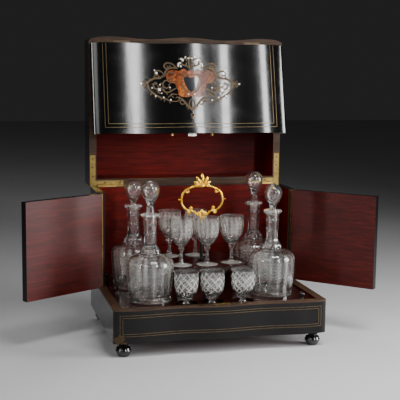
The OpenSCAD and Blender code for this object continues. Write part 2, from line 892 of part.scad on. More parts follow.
// A leaf of the palmette, pointing up from the ring's top
module palmette_leaf(length, width, thick, angle) {
  rotate([0, angle, 0])
    rotate([90, 0, 0])
      translate([0, 0, -thick / 2])
        linear_extrude(thick)
          polygon([
            [-width * 0.3, 0], [-width * 0.5, length * 0.45], [-width * 0.38, length * 0.8],
            [-width * 0.12, length], [width * 0.12, length], [width * 0.38, length * 0.8],
            [width * 0.5, length * 0.45], [width * 0.3, 0]]);
}

// A turned bead threaded on the ring's bar, whose axis is Z
module bead(radius) {
  rotate_extrude()
    polygon([
      [0, -radius * 0.92], [radius * 0.55, -radius * 0.84], [radius * 0.88, -radius * 0.48], [radius, 0],
      [radius * 0.88, radius * 0.48], [radius * 0.55, radius * 0.84], [0, radius * 0.92]]);
}

module handle() {
  color("gold") place() translate([0, handle_y, handle_z]) {
    for (side = [-1, 1]) ring_end(side);
    for (z = [-handle_end_r, handle_end_r])
      translate([-handle_run - bite, 0, z]) rotate([0, 90, 0])
        cylinder(r = bar_r * bar_swell, h = 2 * handle_run + 2 * bite, $fn = 32);
    for (angle = [-64, -32, 0, 32, 64])
      translate([0, 0, handle_end_r])
        palmette_leaf(palmette_h * (1.02 - abs(angle) / 200), palmette_h * 0.36, leaf_thick, angle);
    for (side = [-1, 1]) {
      translate([side * (handle_run + handle_end_r), 0, 0]) bead(bar_r * 1.6);
      translate([side * handle_run * 0.84, 0, -handle_end_r]) rotate([0, 90, 0]) bead(bar_r * 1.7);
      translate([side * handle_run * 0.56, 0, -handle_end_r]) rotate([0, 90, 0]) bead(bar_r * 1.5);
    }
    translate([0, 0, -handle_end_r + drop_leaf_up]) rotate([180, 0, 0])
      palmette_leaf(drop_leaf_l, drop_leaf_w, leaf_thick * 1.25, 0);
  }
}

decanter_rings = [
  [0, decanter_r * 0.88], [decanter_h * 0.42, decanter_r], [decanter_h * 0.535, neck_r * 1.55],
  [decanter_h * 0.575, neck_r * 1.76], [decanter_h * 0.625, neck_r], [decanter_h * 0.74, neck_r],
  [decanter_h * 0.77, neck_r * 1.32], [decanter_h * 0.8, neck_r], [decanter_h * 0.855, neck_r],
  [decanter_h * 0.885, neck_r * 1.3], [decanter_h * 0.915, neck_r], [decanter_h * 0.94, neck_r],
  [decanter_h * 0.98, lip_r], [decanter_h, lip_r * 0.9]];
bore_rings = [
  [decanter_h, neck_bore_r], [decanter_h * 0.53, neck_bore_r],
  [decanter_h * 0.4, decanter_r - decanter_wall], [decanter_wall * 2.2, decanter_r * 0.86 - decanter_wall]];

module decanter(i) {
  z0 = deck_top - well_d + loose;
  color("lightcyan") place()
    translate([decanter_at[i][0], decanter_at[i][1], z0])
      rotate_extrude() polygon(concat(
        [[0, 0]], eased(decanter_rings), eased(bore_rings), [[0, decanter_wall * 2.2]]));
}
module decanter_front_left() { decanter(0); }
module decanter_front_right() { decanter(1); }
module decanter_rear_left() { decanter(2); }
module decanter_rear_right() { decanter(3); }

module stopper(i) {
  z0 = deck_top - well_d + loose + decanter_h;
  rise = stopper_rise[i];
  shank_r = neck_bore_r - stopper_room;
  widest_z = rise + ball_h * 0.62;
  rings = [[rise + loose, shank_r], [rise + 3, shank_r * 0.85], [widest_z, ball_r]];
  color("white") place()
    translate([decanter_at[i][0], decanter_at[i][1], z0])
      rotate_extrude() polygon(concat(
        [[0, -shank_l], [shank_r - 0.6, -shank_l], [shank_r, -shank_l + 1]], eased(rings),
        capped(widest_z, ball_r, rise + ball_h - widest_z)));
}
module stopper_front_left() { stopper(0); }
module stopper_front_right() { stopper(1); }
module stopper_rear_left() { stopper(2); }
module stopper_rear_right() { stopper(3); }

glass_rings = [
  [1.4, glass_foot_r], [4, 3.4], [glass_stem_h * 0.5, 2.6], [glass_stem_h * 0.8, 3.6], [glass_stem_h, 5],
  [glass_stem_h + 14, glass_r * 0.86], [glass_h, glass_r]];
bowl_rings = [
  [glass_h, glass_r - glass_wall], [glass_stem_h + 15, glass_r * 0.86 - glass_wall],
  [glass_stem_h + 3.5, 0.2]];

module glass(at, z0) {
  color("azure") place() translate([at[0], at[1], z0])
    rotate_extrude() polygon(concat(
      [[0, 0], [glass_foot_r, 0]], eased(glass_rings), eased(bowl_rings), [[0, glass_stem_h + 3.5]]));
}
shelf_glass_z = shelf_top - 1 + loose;
tray_glass_z = board_top + loose;
module glass_shelf_1() { glass(shelf_glass_at[0], shelf_glass_z); }
module glass_shelf_2() { glass(shelf_glass_at[1], shelf_glass_z); }
module glass_shelf_3() { glass(shelf_glass_at[2], shelf_glass_z); }
module glass_shelf_4() { glass(shelf_glass_at[3], shelf_glass_z); }
module glass_shelf_5() { glass(shelf_glass_at[4], shelf_glass_z); }
module glass_tray_1() { glass(tray_glass_at[0], tray_glass_z); }
module glass_tray_2() { glass(tray_glass_at[1], tray_glass_z); }
module glass_tray_3() { glass(tray_glass_at[2], tray_glass_z); }

base_walls();
base_floor();
base_rim();
foot_front_left();
foot_front_right();
foot_rear_left();
foot_rear_right();
back_wall();
side_wall_left();
side_wall_right();
door_hinge_case_leaves();
door_hinge_pins();
case_screws();
striker_plate();
lid_hinge_case_leaves();
lid_hinge_pins();
lid_frame();
lid_top();
lid_corner_leaves();
lid_screws();
panel_hinge_lid_leaves();
panel_hinge_pins();
front_panel();
panel_hinge_leaves();
lock_case();
lock_bolt();
keyhole_escutcheon();
locating_dowels();
door_left();
door_left_leaf();
door_right();
door_right_leaf();
rack_board();
rack_posts();
rack_tray();
rack_columns();
rack_shelf();
tray_finials();
handle_stem();
handle();
decanter_front_left();
decanter_front_right();
decanter_rear_left();
decanter_rear_right();
stopper_front_left();
stopper_front_right();
stopper_rear_left();
stopper_rear_right();
glass_shelf_1();
glass_shelf_2();
glass_shelf_3();
glass_shelf_4();
glass_shelf_5();
glass_tray_1();
glass_tray_2();
glass_tray_3();
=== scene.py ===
"""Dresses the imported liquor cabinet: wood, brass, inlay, glass, gilding, light and camera.

Lengths in the classes are millimetres of the shut case, with the case's middle at the
origin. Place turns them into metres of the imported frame.
"""

from __future__ import annotations

import logging
import math
import sys
from dataclasses import dataclass, field
from enum import Enum
from functools import cache
from typing import Any, Callable, Sequence, Union

import bmesh
import bpy
from mathutils import Matrix, Vector

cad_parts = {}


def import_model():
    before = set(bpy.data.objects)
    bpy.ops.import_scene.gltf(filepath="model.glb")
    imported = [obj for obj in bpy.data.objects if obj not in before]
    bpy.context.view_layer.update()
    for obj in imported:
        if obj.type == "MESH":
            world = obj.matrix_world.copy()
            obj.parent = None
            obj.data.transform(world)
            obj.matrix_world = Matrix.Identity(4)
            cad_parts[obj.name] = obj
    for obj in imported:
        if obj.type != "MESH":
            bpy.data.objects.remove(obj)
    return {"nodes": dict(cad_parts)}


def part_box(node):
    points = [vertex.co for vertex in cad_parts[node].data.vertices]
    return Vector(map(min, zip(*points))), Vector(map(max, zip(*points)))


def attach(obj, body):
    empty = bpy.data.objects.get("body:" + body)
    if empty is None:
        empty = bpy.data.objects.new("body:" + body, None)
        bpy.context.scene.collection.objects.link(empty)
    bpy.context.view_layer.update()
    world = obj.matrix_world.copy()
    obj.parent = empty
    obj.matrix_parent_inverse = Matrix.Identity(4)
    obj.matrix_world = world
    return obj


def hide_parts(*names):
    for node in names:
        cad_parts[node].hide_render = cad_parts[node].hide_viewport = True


LOG = logging.getLogger("cabinet")
MM = 0.001
Point = tuple[float, float]
Point3 = tuple[float, float, float]
Line = tuple[Point, ...]
Leaf = tuple[float, float, float, float, float]
Colour = tuple[float, float, float]
Number = Union[float, "Value"]
Width = Callable[[float], float]
Cut = Callable[[float, float, float], float]
Pick = Callable[[Vector, Vector], int]

# The white of ground glass, which also paints the highlight along a glass's lip.
GROUND_WHITE_AND_HIGHLIGHT: Colour = (0.93, 0.92, 0.86)
GROUND_ROUGH = 0.5
GRAIN_STRETCH: Point3 = (0.35, 0.35, 6.0)
INLAY_SUNK = 0.3
WELD_DISTANCE = 2e-6
FLAT_ANGLE = 0.4
EASED_ANGLE = 40.0
CREASE_ANGLE = 50.0
FRONT_MARGIN = 1.5
FACING = 0.9
LEVEL = 0.5


class Slot(Enum):
    """The record's material slots."""

    EBONISED = "ebonised_wood"
    MAHOGANY = "mahogany"
    WALNUT = "walnut_rim"
    BRASS = "brass"
    GILT = "gilt"
    GLASS = "cut_glass"


class Turn(Enum):
    """How a piece drawn in the shut case is turned to stand as in the photograph."""

    NONE = "stays"
    PANEL = "folds and opens with the lid"


class Value:
    """A shader output on which Python's operators add Math nodes."""

    def __init__(self, shader: Shader, socket: bpy.types.NodeSocket) -> None:
        """Wraps one output socket of a shader."""
        self.shader = shader
        self.socket = socket

    def __add__(self, other: Number) -> Value:
        """self + other."""
        return self.shader.math("ADD", self, other)

    def __radd__(self, other: Number) -> Value:
        """other + self."""
        return self.shader.math("ADD", other, self)

    def __sub__(self, other: Number) -> Value:
        """self - other."""
        return self.shader.math("SUBTRACT", self, other)

    def __rsub__(self, other: Number) -> Value:
        """other - self."""
        return self.shader.math("SUBTRACT", other, self)

    def __mul__(self, other: Number) -> Value:
        """self * other."""
        return self.shader.math("MULTIPLY", self, other)

    def __rmul__(self, other: Number) -> Value:
        """other * self."""
        return self.shader.math("MULTIPLY", other, self)

    def ripple(self) -> Value:
        """The size of its sine, from 0 to 1."""
        return self.shader.math("ABSOLUTE", self.shader.math("SINE", self))

    def fade(self, low: float, high: float) -> Value:
        """Runs smoothly from 0 where self is low to 1 where it is high."""
        settings = {"interpolation_type": "SMOOTHSTEP"}
        return self.shader.node("MapRange", settings, {0: self, 1: low, 2: high})


class Shader:
    """One material and the nodes made in it."""

    def __init__(self, name: str) -> None:
        """Makes an empty node material of that name."""
        self.material = bpy.data.materials.new(name)
        self.material.use_nodes = True
        self.tree = self.material.node_tree
        self.tree.nodes.clear()
        self.coords = self.node("TexCoord", out="Object")

    def node(
        self,
        kind: str,
        settings: dict[str, Any] | None = None,
        values: dict[int | str, Any] | None = None,
        out: int | str = 0,
    ) -> Value:
        """Makes one node.

        Args:
            kind: The node's type, without its ShaderNode prefix.
            settings: Properties, set first, with a ramp's colours under stops.
            values: Numbers, colours or Values for its input sockets.
            out: The output that is wanted.

        Returns:
            The output, as a Value.
        """
        made = self.tree.nodes.new("ShaderNode" + kind)
        for key, value in (settings or {}).items():
            if key == "stops":
                elements = made.color_ramp.elements
                for index, (position, colour) in enumerate(value):
                    stop = elements[index] if index < 2 else elements.new(position)
                    stop.position = position
                    stop.color = (*colour, 1.0)
            else:
                setattr(made, key, value)
        for key, value in (values or {}).items():
            if isinstance(value, Value):
                self.tree.links.new(value.socket, made.inputs[key])
            elif isinstance(value, tuple) and len(made.inputs[key].default_value) == 4:
                made.inputs[key].default_value = (*value, 1.0)
            else:
                made.inputs[key].default_value = value
        return Value(self, made.outputs[out])

    def math(self, operation: str, first: Number, second: Number = 0.0) -> Value:
        """The result of a Math node's operation on one or two values."""
        return self.node("Math", {"operation": operation}, {0: first, 1: second})

    def stretched(self, scale: Point3) -> Value:
        """The object's coordinates, scaled along each axis."""
        return self.node("Mapping", values={0: self.coords, "Scale": scale})

    def moved(self, first: Any, factor: Point3, by: Any) -> Value:
        """Coordinates scaled by a factor and moved by an amount."""
        return self.node("VectorMath", {"operation": "MULTIPLY_ADD"}, {0: first, 1: factor, 2: by})

    def noise(
        self, scale: float, detail: float = 3.0, where: Value | None = None, rough: float = 0.5
    ) -> Value:
        """Noise from 0 to 1 at a scale in features per metre."""
        values = {"Vector": where or self.coords, "Scale": scale, "Detail": detail}
        return self.node("TexNoise", values={**values, "Roughness": rough})

    def ramp(self, value: Value, *stops: tuple[float, Colour]) -> Value:
        """Colours for a value, by stops of position and colour."""
        return self.node("ValToRGB", {"stops": stops}, {0: value})

    def mix(self, share: Number, first: Any, second: Any) -> Value:
        """A colour between two, by a share from 0 to 1."""
        return self.node("Mix", {"data_type": "RGBA"}, {0: share, 6: first, 7: second}, out=2)

    def bump(self, height: Value, strength: float, distance: float) -> Value:
        """A normal bent by a height."""
        values = {"Strength": strength, "Distance": distance, "Height": height}
        return self.node("Bump", values=values)

    def close(self, frost_and_rim_highlight: Value | None = None, **sockets: Any) -> bpy.types.Material:
        """Ends the material in a Principled shader.

        Args:
            frost_and_rim_highlight: Where the surface is ground white instead, from 0 to 1,
                including the painted highlight along a glass's lip.
            **sockets: Its inputs, with spaces written as underscores.

        Returns:
            The finished material.
        """
        named = {key.replace("_", " "): value for key, value in sockets.items()}
        surface = self.node("BsdfPrincipled", values=named)
        if frost_and_rim_highlight is not None:
            # The ground white also serves as the painted highlight along a glass's lip.
            white = {"Base Color": GROUND_WHITE_AND_HIGHLIGHT, "Roughness": GROUND_ROUGH}
            ground = self.node("BsdfPrincipled", values=white)
            surface = self.node("MixShader", values={0: frost_and_rim_highlight, 1: surface, 2: ground})
        output = self.tree.nodes.new("ShaderNodeOutputMaterial")
        self.tree.links.new(surface.socket, output.inputs[0])
        return self.material


@dataclass(frozen=True)
class Finish:
    """A finish that a piece can have, known by its name."""

    name: str

    def paint(self, sh: Shader) -> bpy.types.Material:
        """Ends a shader in this finish."""
        raise NotImplementedError


@dataclass(frozen=True)
class Lacquer(Finish):
    """Black polish over stained wood, rubbed thin where hands and time have worn it."""

    colour: Colour = (0.006, 0.005, 0.005)
    bare: Colour = (0.055, 0.026, 0.012)
    wear: float = 0.30
    rough: float = 0.12
    coat: float = 0.05
    gloss: float = 0.20
    chip: Point3 | None = None
    chip_r: float = 10.0

    def chipped(self, sh: Shader) -> Value:
        """Where the polish is gone round the chip, from 0 to 1."""
        spot = tuple(Vector(self.chip) * MM + PLACE.shift)
        away = sh.node("VectorMath", {"operation": "DISTANCE"}, {0: sh.coords, 1: spot}, "Value")
        radius = self.chip_r * MM
        ragged = away + (sh.noise(160.0, 5.0) - 0.5) * (radius * 3.2)
        return 1.0 - ragged.fade(radius * 0.75, radius)

    def paint(self, sh: Shader) -> bpy.types.Material:
        """Ends a shader in this finish."""
        pores = sh.noise(90.0, 4.0, sh.stretched((1.0, 1.0, 14.0)))
        specks = sh.noise(420.0, 2.0)
        bare = sh.noise(9.0, 5.0).fade(0.62, 0.78) * specks.fade(0.42, 0.6) * self.wear
        dust = sh.noise(35.0, 6.0, rough=0.7).fade(0.50, 0.85)
        rubbed = sh.noise(14.0, 4.0, sh.stretched((1.0, 1.0, 3.0))).fade(0.4, 0.75)
        if self.chip:
            bare = sh.math("MAXIMUM", bare, self.chipped(sh))
        return sh.close(
            Base_Color=sh.mix(bare, self.colour, self.bare),
            Roughness=self.rough + dust * 0.06 + rubbed * 0.05 + bare * 0.4,
            Coat_Weight=self.coat,
            Coat_Roughness=0.05,
            Specular_IOR_Level=self.gloss,
            Normal=sh.bump(pores + specks * 0.3, 0.06, 0.0004),
        )


@dataclass(frozen=True)
class FineWood(Finish):
    """Polished hardwood with streaks, pores and a slow figure."""

    dark: Colour
    middle: Colour
    light: Colour
    rough: float
    gloss: float

    def paint(self, sh: Shader) -> bpy.types.Material:
        """Ends a shader in this finish."""
        path = sh.stretched(GRAIN_STRETCH)
        warped = sh.moved(sh.coords, GRAIN_STRETCH, sh.noise(5.0, 3.0) * 0.16)
        streaks = sh.noise(46.0, 8.0, warped, 0.62)
        fine = sh.noise(300.0, 4.0, path, 0.7)
        cloud = sh.noise(7.0, 4.0)
        pores = sh.noise(620.0, 2.0, path).fade(0.60, 0.72)
        tone = streaks * 0.62 + fine * 0.22 + cloud * 0.13
        wood = sh.ramp(tone, (0.34, self.dark), (0.50, self.middle), (0.66, self.light))
        return sh.close(
            Base_Color=sh.mix(pores * 0.55, wood, self.dark),
            Roughness=self.rough + cloud.fade(0.35, 0.75) * 0.14 + pores * 0.12,
            Specular_IOR_Level=self.gloss,
            Normal=sh.bump(fine - pores * 0.8, 0.10, 0.0003),
        )


@dataclass(frozen=True)
class Metal(Finish):
    """Brass, gilding or another metal, with tarnish in patches and fine scratches."""

    colour: Colour
    tarnish: Colour
    rough: float
    dirt: float
    scratch: float = 0.12

    def paint(self, sh: Shader) -> bpy.types.Material:
        """Ends a shader in this finish."""
        patches = sh.noise(110.0, 6.0, rough=0.65)
        spots = sh.noise(480.0, 3.0)
        mask = (patches.fade(0.46, 0.66) * 0.75 + spots.fade(0.58, 0.7) * 0.35) * self.dirt
        return sh.close(
            Base_Color=sh.mix(mask, self.colour, self.tarnish),
            Metallic=1.0 - mask * 0.35,
            Roughness=self.rough + mask * 0.28 + spots * 0.06,
            Normal=sh.bump(sh.noise(900.0, 2.0) + patches * 0.6, self.scratch, 0.0002),
        )


@dataclass(frozen=True)
class Crystal(Finish):
    """Clear lead glass, ground white where a wheel has cut it.

    The cutting runs round the upright axis of the piece, whose origin is the middle of its
    foot. Heights are metres over that foot: band holds the cutting, and the sole under the
    foot is ground. Above edge the lip carries a painted highlight, a thin white band laid on
    in place of the bright line that light draws along a rim.
    """

    haze: float
    sprays: int = 0
    crossed: int = 0
    pitch: float = 0.0
    white: float = 0.5
    band: Point = (0.0, 0.0)
    # Where the painted highlight on the lip begins; a metre is above any glass, so it has none.
    edge: float = 1.0
    sole: float = 0.0

    def within(self, z: Value, margins: Point) -> Value:
        """Where a height is in the band, fading in and out over the margins."""
        low, high = self.band
        return z.fade(low, low + margins[0]) * (1.0 - z.fade(high - margins[1], high))

    def cutting(self, sh: Shader, z: Value) -> Value:
        """How white the wheel has ground the glass, from 0 to 1."""
        x, y = (sh.node("SeparateXYZ", values={0: sh.coords}, out=i) for i in range(2))
        turn = sh.math("ARCTAN2", y, x)
        if self.crossed:
            slope = self.pitch / (2 * MM)
            one, other = ((turn * (self.crossed / 2) + z * s).ripple() for s in (-slope, slope))
            marks = 1.0 - sh.math("MINIMUM", one, other).fade(0.06, 0.20)
        else:
            off = (turn * (self.sprays / 2)).ripple()
            leaf = (z * 560.0 - off * 2.6).ripple()
            blades = (1.0 - leaf.fade(0.35, 0.75)) * (1.0 - off.fade(0.70, 0.90))
            marks = sh.math("MAXIMUM", blades, 1.0 - off.fade(0.06, 0.20))
        return marks * self.within(z, (0.004, 0.003)) * sh.noise(420.0, 3.0).fade(0.10, 0.50)

    def paint(self, sh: Shader) -> bpy.types.Material:
        """Ends a shader in this finish."""
        z = sh.node("SeparateXYZ", values={0: sh.coords}, out=2)
        foot = (1.0 - z.fade(0.0025, 0.005)) * self.sole
        # Above edge the lip gets a painted highlight: a thin white band stands in for the bright
        # line that light draws along a rim.
        frost_and_rim_highlight = z.fade(self.edge, self.edge + 0.0006) * 0.16 + foot + self.haze
        sockets: dict[str, Any] = {}
        if self.sprays or self.crossed:
            cut = self.cutting(sh, z)
            veil = self.within(z, (0.006, 0.004)) * (self.white * 0.06)
            frost_and_rim_highlight = frost_and_rim_highlight + cut * self.white + veil
            sockets["Normal"] = sh.bump(1.0 - cut, 0.04, 0.0003)
        return sh.close(
            frost_and_rim_highlight=sh.math("MINIMUM", frost_and_rim_highlight, 1.0),
            Base_Color=(0.99, 0.99, 0.98),
            Roughness=0.015,
            Transmission_Weight=1.0,
            IOR=1.5,
            Specular_IOR_Level=0.7,
            **sockets,
        )


@dataclass(frozen=True)
class Burl(Finish):
    """Reddish amber burl with dark swirls, polished."""

    dark: Colour = (0.022, 0.005, 0.003)
    amber: Colour = (0.18, 0.036, 0.008)
    light: Colour = (0.42, 0.125, 0.018)

    def paint(self, sh: Shader) -> bpy.types.Material:
        """Ends a shader in this finish."""
        bent = sh.moved(sh.noise(95.0, 5.0, rough=0.6), (0.02, 0.02, 0.02), sh.coords)
        veins = sh.noise(160.0, 6.0, bent, 0.68)
        tone = veins * 0.65 + sh.noise(42.0, 2.0) * 0.4
        return sh.close(
            Base_Color=sh.ramp(tone, (0.40, self.dark), (0.52, self.amber), (0.64, self.light)),
            Roughness=0.22 + veins * 0.1,
            Coat_Weight=0.1,
            Specular_IOR_Level=0.35,
            Normal=sh.bump(veins, 0.08, 0.0003),
        )


@dataclass(frozen=True)
class Pearl(Finish):
    """Mother-of-pearl: white with faint green and rose."""

    green: Colour = (0.62, 0.80, 0.72)
    white: Colour = (0.90, 0.88, 0.82)
    rose: Colour = (0.88, 0.70, 0.72)

    def paint(self, sh: Shader) -> bpy.types.Material:
        """Ends a shader in this finish."""
        tone = sh.noise(210.0, 3.0)
        return sh.close(
            Base_Color=sh.ramp(tone, (0.36, self.green), (0.5, self.white), (0.64, self.rose)),
            Roughness=0.16 + sh.noise(500.0) * 0.1,
            Coat_Weight=0.6,
            Normal=sh.bump(sh.noise(300.0), 0.15, 0.0003),
        )


@dataclass(frozen=True)
class Plaster(Finish):
    """The pale studio floor."""

    low: Colour = (0.50, 0.50, 0.51)
    high: Colour = (0.54, 0.54, 0.55)

    def paint(self, sh: Shader) -> bpy.types.Material:
        """Ends a shader in this finish."""
        tone = sh.ramp(sh.noise(3.0, 4.0), (0.3, self.low), (0.7, self.high))
        return sh.close(Base_Color=tone, Roughness=0.62)


LACQUER = Lacquer("lacquer")
WORN = Lacquer(
    "worn_edge", (0.018, 0.011, 0.008), (0.14, 0.070, 0.030), wear=0.9, rough=0.34, coat=0.15
)
RACK_BLACK = Lacquer(
    "rack_black", (0.007, 0.006, 0.006), (0.05, 0.03, 0.02), wear=0.25, rough=0.28, coat=0.3
)
POLISHED = Lacquer(
    "polished_black", bare=(0.05, 0.025, 0.012), wear=0.25, rough=0.08, coat=0.5, gloss=0.45
)
PANEL_BLACK = Lacquer(
    "panel_black", (0.003, 0.003, 0.003), (0.04, 0.02, 0.01), 0.12, rough=0.13, coat=0.3, gloss=0.45
)
CHIPPED = Lacquer("chipped_lacquer", bare=(0.045, 0.026, 0.010), chip=(-156.0, -117.0, 27.0))
TRAY = Lacquer(
    "tray_black", (0.016, 0.004, 0.003), (0.09, 0.024, 0.012), wear=0.5, rough=0.14, coat=0.4
)
HORN = Lacquer("dark_horn", (0.022, 0.026, 0.030), (0.07, 0.07, 0.07), wear=0.4, coat=0.6)
INNER = FineWood(
    "mahogany", (0.030, 0.0008, 0.0004), (0.095, 0.0024, 0.0010), (0.16, 0.0085, 0.0035),
    rough=0.38, gloss=0.16,
)
DOOR = FineWood(
    "door_mahogany", (0.020, 0.0009, 0.0005), (0.060, 0.0026, 0.0012), (0.115, 0.011, 0.005),
    rough=0.36, gloss=0.3,
)
RIM = FineWood(
    "walnut_rim", (0.014, 0.006, 0.003), (0.046, 0.023, 0.011), (0.095, 0.052, 0.025),
    rough=0.42, gloss=0.3,
)
BRASS = Metal("aged_brass", (0.52, 0.36, 0.11), (0.10, 0.06, 0.018), rough=0.32, dirt=0.8)
STRING = Metal("string_brass", (0.15, 0.108, 0.058), (0.035, 0.022, 0.013), rough=0.40, dirt=0.85)
SCROLL = Metal("inlay_brass", (0.11, 0.078, 0.048), (0.045, 0.030, 0.018), rough=0.44, dirt=0.8)
STEEL = Metal("bright_steel", (0.62, 0.60, 0.57), (0.24, 0.20, 0.16), rough=0.24, dirt=0.4)
IRON = Metal("old_iron", (0.16, 0.12, 0.08), (0.05, 0.03, 0.02), rough=0.4, dirt=0.6)
GILDING = Metal("gilding", (0.98, 0.58, 0.055), (0.48, 0.20, 0.01), 0.22, dirt=0.45, scratch=0.2)
# Each glass's edge sets where the painted highlight along its lip begins.
ENGRAVED = Crystal(
    "engraved_crystal", haze=0.010, sprays=16, white=0.17, band=(0.012, 0.066), edge=0.1318,
    sole=0.06,
)
CLEAR = Crystal("clear_crystal", haze=0.02)
SPRIGGED = Crystal(
    "sprigged_glass", haze=0.035, sprays=14, white=0.24, band=(0.042, 0.071), edge=0.0755,
    sole=0.09,
)
CROSSED = Crystal(
    "crossed_glass", haze=0.012, crossed=10, pitch=0.56, white=0.62, band=(0.044, 0.070),
    edge=0.0755, sole=0.09,
)


@cache
def material_of(finish: Finish) -> bpy.types.Material:
    """The material of a finish, made once."""
    return finish.paint(Shader(finish.name))


@dataclass
class Place:
    """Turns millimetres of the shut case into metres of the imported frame."""

    fold_y: float = -111.5
    crest_y: float = -124.0
    back_y: float = 124.0
    hinge_z: float = 225.0
    side_x: float = 165.0
    crest_x: float = 130.0
    valley: float = 4.0
    corner_drop: float = 7.5
    stand_off: float = 13.3
    shift: Vector = field(default_factory=Vector)

    def measure(self) -> None:
        """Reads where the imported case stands."""
        low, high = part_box("base_walls")
        self.shift = Vector(((low.x + high.x) / 2, (low.y + high.y) / 2, 0.0))

    def foot(self, node: str) -> Point3:
        """The middle of a node's underside, in shut millimetres."""
        low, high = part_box(node)
        middle = ((low + high) / 2 - self.shift) / MM
        return (middle.x, middle.y, low.z / MM)

    def turned(self, turn: Turn) -> Matrix:
        """The matrix from shut millimetres to metres as photographed.

        Args:
            turn: What the piece moves with.

        Returns:
            The matrix.
        """

        def about(y: float, degrees: float) -> Matrix:
            """A turn about an axis along X at the height of the hinges."""
            axis = Matrix.Translation((0, y, self.hinge_z))
            return axis @ Matrix.Rotation(math.radians(degrees), 4, "X") @ axis.inverted()

        made = Matrix.Translation(self.shift) @ Matrix.Scale(MM, 4)
        if turn is Turn.PANEL:
            made = made @ about(self.back_y, -90.0) @ about(self.fold_y, 90.0 - self.stand_off)
        return made

    def front(self, x: float) -> float:
        """The depth of the serpentine front at a distance from the middle."""
        if abs(x) <= self.crest_x:
            return self.crest_y + self.valley * (1 - math.cos(math.tau * x / self.crest_x)) / 2
        share = min(1.0, (abs(x) - self.crest_x) / (self.side_x - self.crest_x))
        return self.crest_y + self.corner_drop * (1 - math.sqrt(1 - share * share))


PLACE = Place()


def walls(start: int, count: int) -> list[Sequence[int]]:
    """Faces from a ring of points to the ring that follows it."""
    turns = [(j, (j + 1) % count) for j in range(count)]
    return [(start + j, start + k, start + count + k, start + count + j) for j, k in turns]


class Piece:
    """Vertices and faces gathered in shut millimetres, then made into one object."""

    bar_sides = 12
    bead_steps = 14
    bead_rings = 8

    def __init__(self, name: str, finish: Finish) -> None:
        """Starts an empty piece with its name and finish."""
        self.name = name
        self.finish = finish
        self.verts: list[Point3] = []
        self.faces: list[Sequence[int]] = []
        self.cavity = sys.maxsize

    def add(self, verts: Sequence[Point3], faces: Sequence[Sequence[int]]) -> None:
        """Adds a shell of vertices and faces."""
        start = len(self.verts)
        self.verts.extend(verts)
        self.faces.extend([start + i for i in face] for face in faces)

    def skin(self, rings: Sequence[Sequence[Point3]]) -> None:
        """Joins rings of equally many points into a tube with closed ends."""
        wide = len(rings[0])
        faces: list[Sequence[int]] = []
        for a in range(0, (len(rings) - 1) * wide, wide):
            faces += walls(a, wide)
        faces.append(tuple(range(wide))[::-1])
        faces.append(tuple((len(rings) - 1) * wide + j for j in range(wide)))
        self.add([p for ring in rings for p in ring], faces)

    def turned(
        self, profile: Sequence[Point], centre: Point3, steps: int, cut: Cut | None = None
    ) -> None:
        """Adds a shape turned on a lathe, from axis to axis.

        Args:
            profile: Points of radius and height, its first and last on the axis.
            centre: The foot of the axis.
            steps: Points round each ring.
            cut: Depth cut away at an angle, height and radius.
        """
        x0, y0, z0 = centre
        verts: list[Point3] = [(x0, y0, z0 + profile[0][1])]
        for r, z in profile[1:-1]:
            for j in range(steps):
                angle = math.tau * j / steps
                left = r - (cut(angle, z, r) if cut else 0.0)
                verts.append((x0 + left * math.cos(angle), y0 + left * math.sin(angle), z0 + z))
        verts.append((x0, y0, z0 + profile[-1][1]))
        faces: list[Sequence[int]] = [(0, 1 + (j + 1) % steps, 1 + j) for j in range(steps)]
        last = 1 + (len(profile) - 3) * steps
        for a in range(1, last, steps):
            faces += walls(a, steps)
        faces += [(last + j, last + (j + 1) % steps, len(verts) - 1) for j in range(steps)]
        self.add(verts, faces)

    def tube(self, path: Sequence[Point3], radius: Width, deep: float = 1.0) -> None:
        """Adds a bar along a path.

        Args:
            path: Points of its middle line.
            radius: Its radius at a share from 0 to 1 of the path.
            deep: Its depth as a share of its width.
        """
        points = [Vector(p) for p in path]
        turns = [math.tau * j / self.bar_sides for j in range(self.bar_sides)]
        rings: list[list[Point3]] = []
        side = Vector((0, 1, 0))
        for i, p in enumerate(points):
            ahead = (points[min(i + 1, len(points) - 1)] - points[max(i - 1, 0)]).normalized()
            side = (side - ahead * side.dot(ahead)).normalized()
            up = ahead.cross(side)
            r = radius(i / (len(points) - 1))
            rings.append([
                tuple(p + (side * deep * math.cos(a) + up * math.sin(a)) * r) for a in turns
            ])
        self.skin(rings)

    def ball(self, centre: Point3, radius: float, flat: Point3 = (1.0, 1.0, 1.0)) -> None:
        """Adds a small bead, squeezed along the axes by flat."""
        rings: list[list[Point3]] = []
        for i in range(1, self.bead_rings):
            down = math.pi * i / self.bead_rings
            ring = []
            for j in range(self.bead_steps, 0, -1):
                turn = math.tau * (j - 1) / self.bead_steps
                way = (
                    math.sin(down) * math.cos(turn), math.sin(down) * math.sin(turn), math.cos(down)
                )
                ring.append(tuple(c + radius * f * w for c, f, w in zip(centre, flat, way)))
            rings.append(ring)
        self.skin(rings)

    def ride(
        self,
        body: str,
        slot: Slot,
        turn: Turn = Turn.NONE,
        stands_for: Sequence[str] = (),
        origin: Point3 | None = None,
        sharp: float = 35.0,
    ) -> None:
        """slot: The record's material slot; not used.
            turn: How it is turned from the shut case.
            stands_for: CAD nodes that it replaces.
            origin: Its own origin, in shut millimetres.
            sharp: The angle from which an edge shows as sharp.
        """
        matrix = PLACE.turned(turn)
        mesh = bpy.data.meshes.new(self.name)
        base = matrix @ Vector(origin) if origin else Vector()
        mesh.from_pydata([matrix @ Vector(v) - base for v in self.verts], [], self.faces)
        work = bmesh.new()
        work.from_mesh(mesh)
        bmesh.ops.recalc_face_normals(work, faces=work.faces)
        work.faces.ensure_lookup_table()
        bmesh.ops.reverse_faces(work, faces=work.faces[self.cavity:])
        work.to_mesh(mesh)
        work.free()
        settle(mesh, base, (self.finish,), sharp, body, stands_for)


